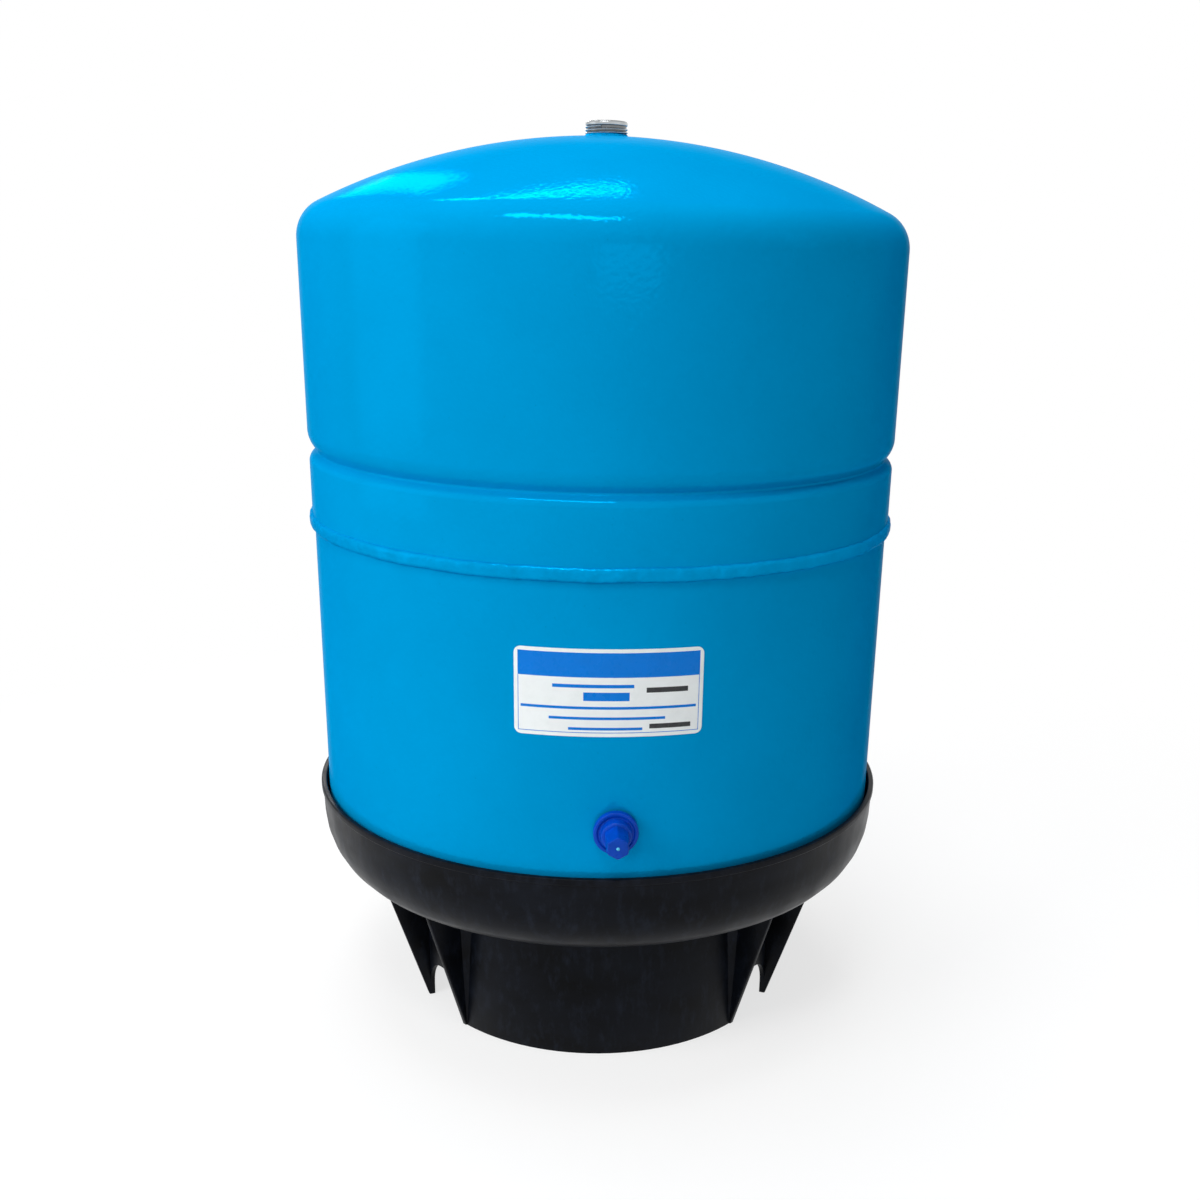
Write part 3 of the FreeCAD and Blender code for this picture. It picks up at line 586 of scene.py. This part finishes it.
class WELLTANK_OT_shells(bpy.types.Operator):
    """Build the upper and lower shells and the weld between them"""
    bl_idname = "welltank.shells"
    bl_label = "Shells"

    def execute(self, context):
        tank = settings("sizes")
        port = settings("port")
        paint = paint_finish()
        skirt = tank.radius - tank.skirt_step
        lower = skirt - tank.wall - FIT
        # Corners without a round split the straight walls, so that their faces shade evenly.
        split = 40 * MM

        bm = bmesh.new()
        top = outline(bm, [
            (skirt, tank.seam, 0),
            (skirt, tank.seam + split / 2, 0),
            (skirt, tank.groove - tank.groove_below, tank.skirt_round),
            (tank.radius - tank.groove_depth, tank.groove, tank.groove_round),
            (tank.radius, tank.groove + tank.groove_above, tank.shoulder_round),
            (tank.radius, tank.groove + split, 0),
            (tank.radius, tank.upper_tangent - split, 0),
            (tank.radius, tank.upper_tangent, 0),
        ])
        head(bm, top, tank.radius, tank.upper_tangent, 1, 40, port.neck_radius + FIT)
        turned(bm, tank.around)
        thickened(bm, tank.wall)
        piece("tank_upper_shell", bm, "tank", [paint], ["upper_shell"])

        bm = bmesh.new()
        top = outline(bm, [
            (lower, tank.seam + tank.lap, 0),
            (lower, tank.seam, 0),
            (lower, tank.seam - split, 0),
            (lower, tank.lower_tangent, 0),
        ])
        head(bm, top, lower, tank.lower_tangent, -1, 30, 0.0)
        turned(bm, tank.around)
        thickened(bm, tank.wall)
        piece("tank_lower_shell", bm, "tank", [paint], ["lower_shell"])

        bm = bmesh.new()
        low = tank.seam - tank.weld_below
        high = tank.seam + tank.weld_above
        slope = 0.2 * MM
        outline(bm, [
            (lower - tank.weld_tuck, low, 0),
            (skirt + tank.weld_crown, low + slope, tank.weld_round),
            (skirt + tank.weld_crown, high - slope, tank.weld_round),
            (skirt - tank.weld_tuck, high, 0),
        ])
        turned(bm, tank.around * 3)
        # The bead's proud part gets coarse and fine lumps, and wanders and ripples along the seam.
        for vert in bm.verts:
            if vert.co.xy.length - lower < 0.1 * MM:
                continue
            way = Vector((vert.co.x, vert.co.y, 0)).normalized()
            lump = noise.noise(vert.co * 95.0) * 0.55 + noise.noise(vert.co * 260.0) * 0.3
            vert.co += way * lump * tank.weld_lump
            vert.co.z += noise.noise(way * 7.0 + Vector((5, 0, 0))) * tank.weld_drift
            vert.co.z += noise.noise(way * 30.0) * tank.weld_ripple
        bm.normal_update()
        piece("tank_seam_weld", bm, "tank", [weld_finish()], ["seam_weld"])
        return {"FINISHED"}


class WELLTANK_OT_water_port(bpy.types.Operator):
    """Build the threaded water connection"""
    bl_idname = "welltank.water_port"
    bl_label = "Water connection"

    def execute(self, context):
        port = settings("port")
        low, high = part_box("water_port")
        root = port.thread_radius - port.thread_depth
        collar = port.thread_radius - port.collar_set
        collar_foot = high.z - port.collar_height
        foot = low.z + 1 * MM
        bm = bmesh.new()
        closed_ring(bm, [
            (port.bore_radius, foot, 0),
            (root, foot, 0),
            (root, collar_foot - port.collar_slope, 0),
            (collar, collar_foot, 0.2 * MM),
            (collar, high.z, port.edge_round),
            (port.bore_radius, high.z, 0.5 * MM),
        ], 96)
        # In shares of the pitch, the ridge's crest runs from 0.44 to 0.52 and its foot is 0.96 wide.
        thread = bmesh.new()
        per_turn = 72
        first = collar_foot - 0.1 * MM - port.pitch * (port.thread_turns + 0.96)
        sunk = root - 0.1 * MM
        outline(thread, [
            (sunk, first, 0),
            (port.thread_radius, first + port.pitch * 0.44, 0),
            (port.thread_radius, first + port.pitch * 0.52, 0),
            (sunk, first + port.pitch * 0.96, 0),
            (sunk, first, 0),
        ])
        fused(thread, CLOSER)
        coiled(thread, port.thread_turns, int(per_turn * port.thread_turns), port.pitch / per_turn)
        merged(bm, thread)
        piece("tank_water_port", bm, "tank", [steel_finish()], ["water_port"], 30.0)
        return {"FINISHED"}


def bored_grip(valve, foot, end, bore_end):
    """The cap's tapering hexagonal grip, from its foot to its end, with a blind bore."""
    bm = bmesh.new()
    bmesh.ops.create_circle(bm, cap_ends=True, segments=6, radius=valve.flats / math.sqrt(3))
    bmesh.ops.translate(bm, verts=bm.verts[:], vec=(0, 0, foot))
    top = verts_of(bmesh.ops.extrude_face_region(bm, geom=bm.faces[:]))
    bmesh.ops.translate(bm, verts=top, vec=(0, 0, end - foot))
    bmesh.ops.scale(bm, verts=top, vec=(valve.taper, valve.taper, 1))
    outward(bm)
    long = [edge for edge in bm.edges if abs(edge.verts[0].co.z - edge.verts[1].co.z) > 1 * MM]
    bevelled(bm, long, valve.grip_round, 4, "EDGES")
    tip = [edge for edge in bm.edges if min(vert.co.z for vert in edge.verts) > end - 0.1 * MM
           and any(abs(face.normal.z) < 0.5 for face in edge.link_faces)]
    bevelled(bm, tip, valve.tip_round, 4, "EDGES")

    # The foot's face gives way to a ring round the bore, and the bore's edge is drawn up and closed.
    base = min(bm.faces, key=lambda face: face.calc_center_median().z)
    loop = base.edges[:]
    bmesh.ops.delete(bm, geom=[base], context="FACES_ONLY")
    ring = bmesh.ops.create_circle(bm, cap_ends=False, segments=len(loop), radius=valve.bore_radius,
                                   matrix=Matrix.Translation((0, 0, foot)))
    bore = list({edge for vert in ring["verts"] for edge in vert.link_edges})
    bmesh.ops.bridge_loops(bm, edges=loop + bore)
    deep = verts_of(bmesh.ops.extrude_edge_only(bm, edges=bore))
    bmesh.ops.translate(bm, verts=deep, vec=(0, 0, bore_end - foot))
    capped(bm)
    return bm


class WELLTANK_OT_air_valve(bpy.types.Operator):
    """Build the air valve's screw cap"""
    bl_idname = "welltank.air_valve"
    bl_label = "Air valve"

    def execute(self, context):
        valve = settings("valve")
        back = -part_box("valve_cap")[1].y
        mouth = back + valve.counterbore_depth
        front = back + valve.flange_thick
        rim = front + valve.rim_height
        rim_inside = valve.flange_radius - valve.rim_width
        collar = front + valve.collar_length
        end = back + valve.cap_length
        bm = bmesh.new()
        closed_ring(bm, [
            (valve.bore_radius, mouth, 0),
            (valve.counterbore_radius, mouth, 0),
            (valve.counterbore_radius, back, 0.4 * MM),
            (valve.flange_radius, back, 0.5 * MM),
            (valve.flange_radius, rim, 0.9 * MM),
            (rim_inside, rim, 0.6 * MM),
            (rim_inside - 0.3 * MM, front, 0.4 * MM),
            (valve.collar_radius + 0.2 * MM, front, 0.5 * MM),
            (valve.collar_radius, collar, valve.collar_round),
            (valve.bore_radius, collar + 0.1 * MM, 0),
        ], 96)
        merged(bm, bored_grip(valve, mouth + 0.5 * MM, end, back + valve.bore_depth))
        pip = bmesh.new()
        bmesh.ops.create_uvsphere(pip, u_segments=24, v_segments=12, radius=valve.gate_radius)
        bmesh.ops.translate(pip, verts=pip.verts[:], vec=(0, 0, end - 1.0 * MM))
        merged(bm, pip)
        on_valve(bm, valve.height)
        piece("tank_valve_cap", bm, "valve_cap", [cap_finish()], ["valve_cap"])
        return {"FINISHED"}


class WELLTANK_OT_label(bpy.types.Operator):
    """Build the film on the lower shell with its plain fields and bars"""
    bl_idname = "welltank.label"
    bl_label = "Label"

    def execute(self, context):
        label = settings("label")
        tank = settings("sizes")
        wide = label.width / MM
        tall = label.height / MM
        radius = tank.radius - tank.skirt_step - tank.wall + label.thick
        white, blue, dark = range(3)
        # A field is left, right, bottom and top, in millimetres from the film's lower left corner, and
        # its finish.
        fields = [
            (2.2, wide - 2.2, 2.2, tall - 2.2, blue),
            (2.6, wide - 2.6, 2.6, tall - 2.6, white),
            (2.6, wide - 2.6, tall - 16.5, tall - 2.6, blue),
            (22.0, 68.0, tall - 22.6, tall - 20.6, blue),
            (39.5, 65.5, tall - 30.2, tall - 25.2, blue),
            (75.0, 99.0, tall - 25.5, tall - 22.5, dark),
            (3.8, wide - 4.0, tall - 35.2, tall - 33.6, blue),
            (20.0, 86.0, tall - 41.4, tall - 39.8, blue),
            (31.0, 73.0, tall - 47.6, tall - 46.0, blue),
            (77.0, 101.0, tall - 46.8, tall - 44.0, dark),
        ]
        bm = bmesh.new()
        film = ((0, 0), (wide, 0), (wide, tall), (0, tall))
        corners = [bm.verts.new((x * MM, 0, z * MM)) for x, z in film]
        bm.faces.new(corners)
        bevelled(bm, corners, label.corner, 6, "VERTICES")
        # The film is cut along each field's edges, and every few millimetres so that it can bend.
        bend = 4.0
        across = {value for field in fields for value in field[:2]}
        across.update(bend * i for i in range(1, int(wide / bend)))
        upward = {value for field in fields for value in field[2:4]}
        for x in sorted(across):
            cut(bm, (1, 0, 0), x * MM)
        for z in sorted(upward):
            cut(bm, (0, 0, 1), z * MM)
        for face in bm.faces:
            middle = face.calc_center_median() / MM
            for left, right, low, high, number in fields:
                if left < middle.x < right and low < middle.z < high:
                    face.material_index = number
        for vert in bm.verts:
            turn = (vert.co.x - wide / 2 * MM + label.offset) / radius
            z = vert.co.z - tall / 2 * MM + label.centre
            vert.co = (radius * math.sin(turn), -radius * math.cos(turn), z)
        face_out(bm)
        thickened(bm, label.thick * 0.8)
        finishes = [film_finish(name, tint(key)) for name, key in (
            ("label_film", "film"), ("label_blue", "band"), ("label_dark", "grey"))]
        piece("tank_label", bm, "tank", finishes, ["rating_label"])
        return {"FINISHED"}


# Stand
def window_turns(stand):
    """The angle of each window's middle, two at the front and two at the back."""
    return [base + hand * stand.window_angle for base in (0.0, math.pi) for hand in (-1, 1)]


def skirt_sheet(stand):
    """The foot as a flat sheet with arched notches, bent round, thickened and softened."""
    middle = stand.foot_radius - stand.wall / 2
    half = stand.window_width / 2
    top = stand.rim_floor + 7 * MM
    bm = bmesh.new()
    reach = math.pi * middle
    centres = sorted((turn + math.pi) % (2 * math.pi) - math.pi for turn in window_turns(stand))
    start = bm.verts.new((-reach, 0, 0))
    vert = start
    for turn in centres:
        centre = turn * middle
        foot = bm.verts.new((centre - half, 0, 0))
        spring = bm.verts.new((centre - half, 0, stand.window_height - half))
        bm.edges.new((vert, foot))
        bm.edges.new((foot, spring))
        over = swept(bm, spring, (centre, stand.window_height - half), -math.pi, 20)
        vert = bm.verts.new((centre + half, 0, 0))
        bm.edges.new((over, vert))
    for x, z in ((reach, 0), (reach, top), (-reach, top)):
        after = bm.verts.new((x, 0, z))
        bm.edges.new((vert, after))
        vert = after
    bm.edges.new((vert, start))
    bmesh.ops.contextual_create(bm, geom=bm.edges[:])
    bends = 120
    for i in range(1, bends):
        cut(bm, (1, 0, 0), -reach + 2 * i * reach / bends)
    for vert in bm.verts:
        turn = vert.co.x / middle
        vert.co = (stand.foot_radius * math.sin(turn), -stand.foot_radius * math.cos(turn), vert.co.z)
    fused(bm, CLOSE)
    face_out(bm)
    thickened(bm, stand.wall)
    softened(bm, stand.edge_soft)
    return bm


def upright_plate(corners, thick, turn, soft):
    """A plate in a plane through the axis, from corners of (radius, height), turned into place."""
    bm = bmesh.new()
    face = bm.faces.new([bm.verts.new((x, -thick / 2, z)) for x, z in corners])
    far_side = verts_of(bmesh.ops.extrude_face_region(bm, geom=[face]))
    bmesh.ops.translate(bm, verts=far_side, vec=(0, thick, 0))
    outward(bm)
    if soft:
        softened(bm, soft)
    bmesh.ops.rotate(bm, verts=bm.verts[:], cent=(0, 0, 0),
                     matrix=Matrix.Rotation(turn - math.pi / 2, 3, "Z"))
    return bm


def root_wedge(stand, turn, side):
    """The wedge that fills the corner between a gusset and the foot, wider upwards."""
    top = stand.rim_floor + stand.wall / 2
    outside = stand.foot_radius
    inside = outside - stand.wall / 2
    near = turn + side * stand.gusset_thick / 2 / outside
    bm = bmesh.new()
    for z, part in ((1.5 * MM, 0.06), (top, 1.0)):
        far = near + side * stand.wedge_across * part / outside
        proud = outside + stand.wedge_out * part
        for radius, at in ((inside, near), (proud, near), (outside, far), (inside, far)):
            bm.verts.new((radius * math.sin(at), -radius * math.cos(at), z))
    bmesh.ops.convex_hull(bm, input=bm.verts[:])
    outward(bm)
    return bm


class WELLTANK_OT_base_stand(bpy.types.Operator):
    """Build the moulded stand: bowl, lip, arched foot, gussets, wedges and seat ribs"""
    bl_idname = "welltank.base_stand"
    bl_label = "Base stand"

    def execute(self, context):
        stand = settings("stand")
        wall = stand.wall
        foot = stand.foot_radius
        bowl = stand.rim_foot_radius
        under = stand.rim_floor
        middle = under + wall / 2
        lip = stand.rim_radius + stand.lip_proud
        lip_foot = stand.rim_top - stand.lip_height
        bm = bmesh.new()
        closed_ring(bm, [
            (foot - wall, under, 0),
            (bowl - 25 * MM, under, 0),
            (bowl, under, stand.rim_foot_round),
            (stand.rim_radius, lip_foot, 0.4 * MM),
            (lip, lip_foot + 0.8 * MM, 0.6 * MM),
            (lip, stand.rim_top, 1.1 * MM),
            (stand.rim_radius - wall + 0.3 * MM, stand.rim_top, 0.8 * MM),
            (bowl - wall, under + wall, stand.rim_foot_round - wall),
            (foot - wall, under + wall, 0),
        ], stand.around)
        merged(bm, skirt_sheet(stand))
        edge_turn = math.asin(stand.window_width / 2 / foot)
        root = foot - wall + 0.5 * MM
        for centre in window_turns(stand):
            for side in (-1, 1):
                turn = centre + side * (edge_turn + stand.gusset_thick / 2 / foot)
                merged(bm, upright_plate([
                    (root, 0.0),
                    (foot + stand.gusset_foot, 0.0),
                    (foot + stand.gusset_reach, middle),
                    (root, middle),
                ], stand.gusset_thick, turn, stand.edge_soft))
                merged(bm, root_wedge(stand, turn, side))
        # A rib's top edge follows the bowl's round, by shares of that round and by heights.
        for i in range(stand.ribs):
            merged(bm, upright_plate([
                (foot - wall / 2, middle),
                (bowl - stand.rim_foot_round, middle),
                (bowl - stand.rim_foot_round * 0.45, middle + 5 * MM),
                (bowl - stand.rim_foot_round * 0.12, middle + 19 * MM),
                (bowl - stand.rim_foot_round * 0.16, middle + 24 * MM),
                (foot - wall / 2, middle + 4 * MM),
            ], stand.rib_thick, (i + 0.5) * 2 * math.pi / stand.ribs, 0.0))
        bmesh.ops.rotate(bm, verts=bm.verts[:], cent=(0, 0, 0), matrix=Matrix.Rotation(stand.turn, 3, "Z"))
        piece("tank_base_stand", bm, "tank", [stand_finish()], ["base_stand"])
        return {"FINISHED"}


class WELLTANK_OT_inner_parts(bpy.types.Operator):
    """Finish the solids that stay as they are, and wind the valve core's spring"""
    bl_idname = "welltank.inner_parts"
    bl_label = "Inner parts"

    def execute(self, context):
        made = {
            "tank_paint": weld_finish(),
            "port_steel": steel_finish("weld_steel", 0.3, 0.5),
            "ring_steel": steel_finish("ring_steel", 0.25, 0.45),
            "valve_brass": brass_finish(),
            "black_rubber": rubber_finish(),
            "liner_plastic": liner_finish(),
            "cap_plastic": cap_finish(),
            "label_film": film_finish("plain_film", tint("film")),
            "stand_plastic": stand_finish(),
        }
        slots = {part["node"]: part["material_slot"] for part in frame["record"]["subparts"]}
        for node, slot in slots.items():
            shown = frame["nodes"][node].data.materials
            shown.clear()
            shown.append(made[slot])

        # The core's spring, which shortens under the pin's head as the pin is pressed, is wound at its rest
        # length.
        valve = settings("valve")
        low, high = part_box("valve_core_spring")
        rest = high.y - low.y
        wire = valve.spring_wire
        bm = bmesh.new()
        place = Matrix.Translation(((high.z - low.z) / 2 - wire, 0, wire - high.y))
        bmesh.ops.create_circle(bm, cap_ends=False, segments=10, radius=wire,
                                matrix=place @ Matrix.Rotation(math.radians(90), 4, "X"))
        steps = int(28 * valve.spring_turns)
        coiled(bm, valve.spring_turns, steps, (rest - 2 * wire) / steps)
        on_valve(bm, valve.height)
        slot = slots["valve_core_spring"]
        coil = piece("valve_core_coil", bm, "tank", [made[slot]], ["valve_core_spring"])
        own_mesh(coil)
        return {"FINISHED"}


# Stage
# Each lamp: name, place, height of the point on the axis that it faces, width, height, power in watts,
# and the kind of ray that doesn't see it. The first four light the tank, the others only reflect in it.
LAMPS = (
    ("stage_left", (-2.0, -1.3, 1.5), 0.3, 1.2, 1.6, 33, "visible_glossy"),
    ("stage_front", (-0.4, -1.5, 2.7), 0.3, 0.7, 0.4, 14, "visible_glossy"),
    ("stage_right", (2.2, -0.8, 1.2), 0.3, 0.5, 1.2, 0.3, None),
    ("stage_top", (-0.1, 0.3, 2.6), 0.5, 1.6, 1.6, 35, "visible_glossy"),
    ("stage_back", (-0.35, 1.45, 2.4), 0.5, 1.1, 0.14, 9.0, "visible_diffuse"),
    ("stage_back_left", (-0.63, 2.06, 1.58), 0.5, 0.22, 0.8, 8.0, "visible_diffuse"),
    ("stage_overhead", (-0.5, -1.0, 2.6), 0.5, 1.3, 0.35, 13.0, "visible_diffuse"),
    ("stage_side", (-2.19, -0.19, 0.7), 0.5, 1.3, 2.4, 4.5, "visible_diffuse"),
    ("stage_glint", (0.2, -2.2, 0.56), 0.5, 0.8, 0.16, 0.3, "visible_diffuse"),
)


def lamp(name, place, aim, wide, tall, power, unseen_by):
    """A soft panel of light that faces the tank's axis."""
    data = bpy.data.lights.new(name, "AREA")
    data.shape = "RECTANGLE"
    data.size = wide
    data.size_y = tall
    data.energy = power
    made = bpy.data.objects.new(name, data)
    made.location = place
    made.rotation_euler = (Vector((0, 0, aim)) - Vector(place)).to_track_quat("-Z", "Y").to_euler()
    if unseen_by:
        setattr(made, unseen_by, False)
    bpy.context.scene.collection.objects.link(made)


def bright_for_camera(tree, lit, bright):
    """Shows the bright shader to camera, glossy and transmission rays, and the lit one to all others."""
    rays = tree.nodes.new("ShaderNodeLightPath")
    direct = rays.outputs["Is Camera Ray"]
    for kind in ("Is Glossy Ray", "Is Transmission Ray"):
        node = tree.nodes.new("ShaderNodeMath")
        node.operation = "ADD"
        node.use_clamp = True
        tree.links.new(direct, node.inputs[0])
        tree.links.new(rays.outputs[kind], node.inputs[1])
        direct = node.outputs[0]
    joined = tree.nodes.new("ShaderNodeMixShader")
    tree.links.new(direct, joined.inputs[0])
    tree.links.new(lit, joined.inputs[1])
    tree.links.new(bright, joined.inputs[2])
    return joined.outputs[0]


def place_floor(scene):
    """A plain pale floor that keeps the tank's shadow close to it and fades to white further out."""
    bm = bmesh.new()
    bmesh.ops.create_grid(bm, x_segments=4, y_segments=4, size=6.0)
    mesh = bpy.data.meshes.new("stage_floor")
    bm.to_mesh(mesh)
    bm.free()
    pale = Recipe("stage_pale")
    tree = pale.tree
    tree.nodes.remove(pale.shader)
    fade = pale.between(pale.far_from((0, 0, 0)), 0.0, 1.0, 0.25, 0.9)
    lit = pale.add("ShaderNodeBsdfDiffuse", Color=(0.6, 0.6, 0.6, 1))
    faint = pale.add("ShaderNodeBsdfDiffuse", Color=pale.mixed(fade, (0.3, 0.3, 0.3), (0.0, 0.0, 0.0)))
    glow = pale.add("ShaderNodeEmission", Strength=pale.between(fade, 0.72, 1.0, 0.0, 1.0))
    both = pale.add("ShaderNodeAddShader")
    pale.put(both.inputs[0], faint.outputs[0])
    pale.put(both.inputs[1], glow.outputs[0])
    out = next(node for node in tree.nodes if node.type == "OUTPUT_MATERIAL")
    pale.put(out.inputs["Surface"], bright_for_camera(tree, lit.outputs[0], both.outputs[0]))
    mesh.materials.append(pale.material)
    floor = bpy.data.objects.new("stage_floor", mesh)
    scene.collection.objects.link(floor)


def light_world(scene):
    """A soft room that is brighter on the left, and plain white where the camera sees it."""
    world = bpy.data.worlds.new("stage_light")
    scene.world = world
    world.use_nodes = True
    tree = world.node_tree
    tree.nodes.clear()
    soft = tree.nodes.new("ShaderNodeBackground")
    soft.inputs["Color"].default_value = (0.96, 0.98, 1.0, 1)
    way = tree.nodes.new("ShaderNodeTexCoord")
    parts = tree.nodes.new("ShaderNodeSeparateXYZ")
    slope = tree.nodes.new("ShaderNodeMapRange")
    for name, value in (("From Min", -1.0), ("From Max", 1.0), ("To Min", 0.78), ("To Max", 0.02)):
        slope.inputs[name].default_value = value
    tree.links.new(way.outputs["Generated"], parts.inputs[0])
    tree.links.new(parts.outputs["X"], slope.inputs["Value"])
    tree.links.new(slope.outputs["Result"], soft.inputs["Strength"])
    white = tree.nodes.new("ShaderNodeBackground")
    white.inputs["Color"].default_value = (1, 1, 1, 1)
    white.inputs["Strength"].default_value = 1.0
    out = tree.nodes.new("ShaderNodeOutputWorld")
    joined = bright_for_camera(tree, soft.outputs[0], white.outputs[0])
    tree.links.new(joined, out.inputs["Surface"])


def place_camera(scene, view):
    """A camera in front of the tank, turned by its yaw, pitch and roll and then round the tank."""
    data = bpy.data.cameras.new("stage_camera")
    data.sensor_width = 36
    data.lens = view.lens
    data.shift_x = view.shift_x
    data.shift_y = view.shift_y
    data.clip_end = 100
    camera = bpy.data.objects.new("stage_camera", data)
    right = Vector((math.cos(view.yaw), math.sin(view.yaw), 0))
    level = Vector((-math.sin(view.yaw), math.cos(view.yaw), 0))
    up = Vector((0, 0, 1))
    ahead = level * math.cos(view.pitch) - up * math.sin(view.pitch)
    down = -(up * math.cos(view.pitch) + level * math.sin(view.pitch))
    side = right * math.cos(view.roll) + down * math.sin(view.roll)
    drop = down * math.cos(view.roll) - right * math.sin(view.roll)
    axes = Matrix((side, -drop, -ahead)).transposed().to_4x4()
    place = Matrix.Translation((0, -view.distance, view.height)) @ axes
    camera.matrix_world = Matrix.Rotation(view.orbit, 4, "Z") @ place
    scene.collection.objects.link(camera)
    scene.camera = camera


class WELLTANK_OT_stage(bpy.types.Operator):
    """Set the floor, the light and the camera"""
    bl_idname = "welltank.stage"
    bl_label = "Stage"

    def execute(self, context):
        scene = bpy.context.scene
        scene.view_settings.view_transform = "Standard"
        place_floor(scene)
        light_world(scene)
        for values in LAMPS:
            lamp(*values)
        place_camera(scene, settings("stage"))
        return {"FINISHED"}


STEPS = (WELLTANK_OT_inner_parts, WELLTANK_OT_shells, WELLTANK_OT_water_port, WELLTANK_OT_air_valve,
         WELLTANK_OT_label, WELLTANK_OT_base_stand, WELLTANK_OT_stage)


class VIEW3D_PT_well_tank(bpy.types.Panel):
    """Lists the steps that dress the tank"""
    bl_label = "Well pressure tank"
    bl_idname = "VIEW3D_PT_well_tank"
    bl_space_type = "VIEW_3D"
    bl_region_type = "UI"
    bl_category = "Tank"

    def draw(self, context):
        for step in STEPS:
            self.layout.operator(step.bl_idname)
        for name, group in GROUPS.items():
            box = self.layout.box()
            box.label(text=group.__doc__)
            for key in group.__annotations__:
                box.prop(getattr(context.scene, PREFIX + name), key)


def register():
    for group in GROUPS.values():
        bpy.utils.register_class(group)
    for name, group in GROUPS.items():
        setattr(bpy.types.Scene, PREFIX + name, bpy.props.PointerProperty(type=group))
    for step in STEPS:
        bpy.utils.register_class(step)
    bpy.utils.register_class(VIEW3D_PT_well_tank)


def unregister():
    bpy.utils.unregister_class(VIEW3D_PT_well_tank)
    for step in reversed(STEPS):
        bpy.utils.unregister_class(step)
    for name in GROUPS:
        delattr(bpy.types.Scene, PREFIX + name)
    for group in GROUPS.values():
        bpy.utils.unregister_class(group)


def main():
    register()
    bpy.ops.welltank.inner_parts()
    bpy.ops.welltank.shells()
    bpy.ops.welltank.water_port()
    bpy.ops.welltank.air_valve()
    bpy.ops.welltank.label()
    bpy.ops.welltank.base_stand()
    bpy.ops.welltank.stage()


if __name__ == "__main__":
    main()
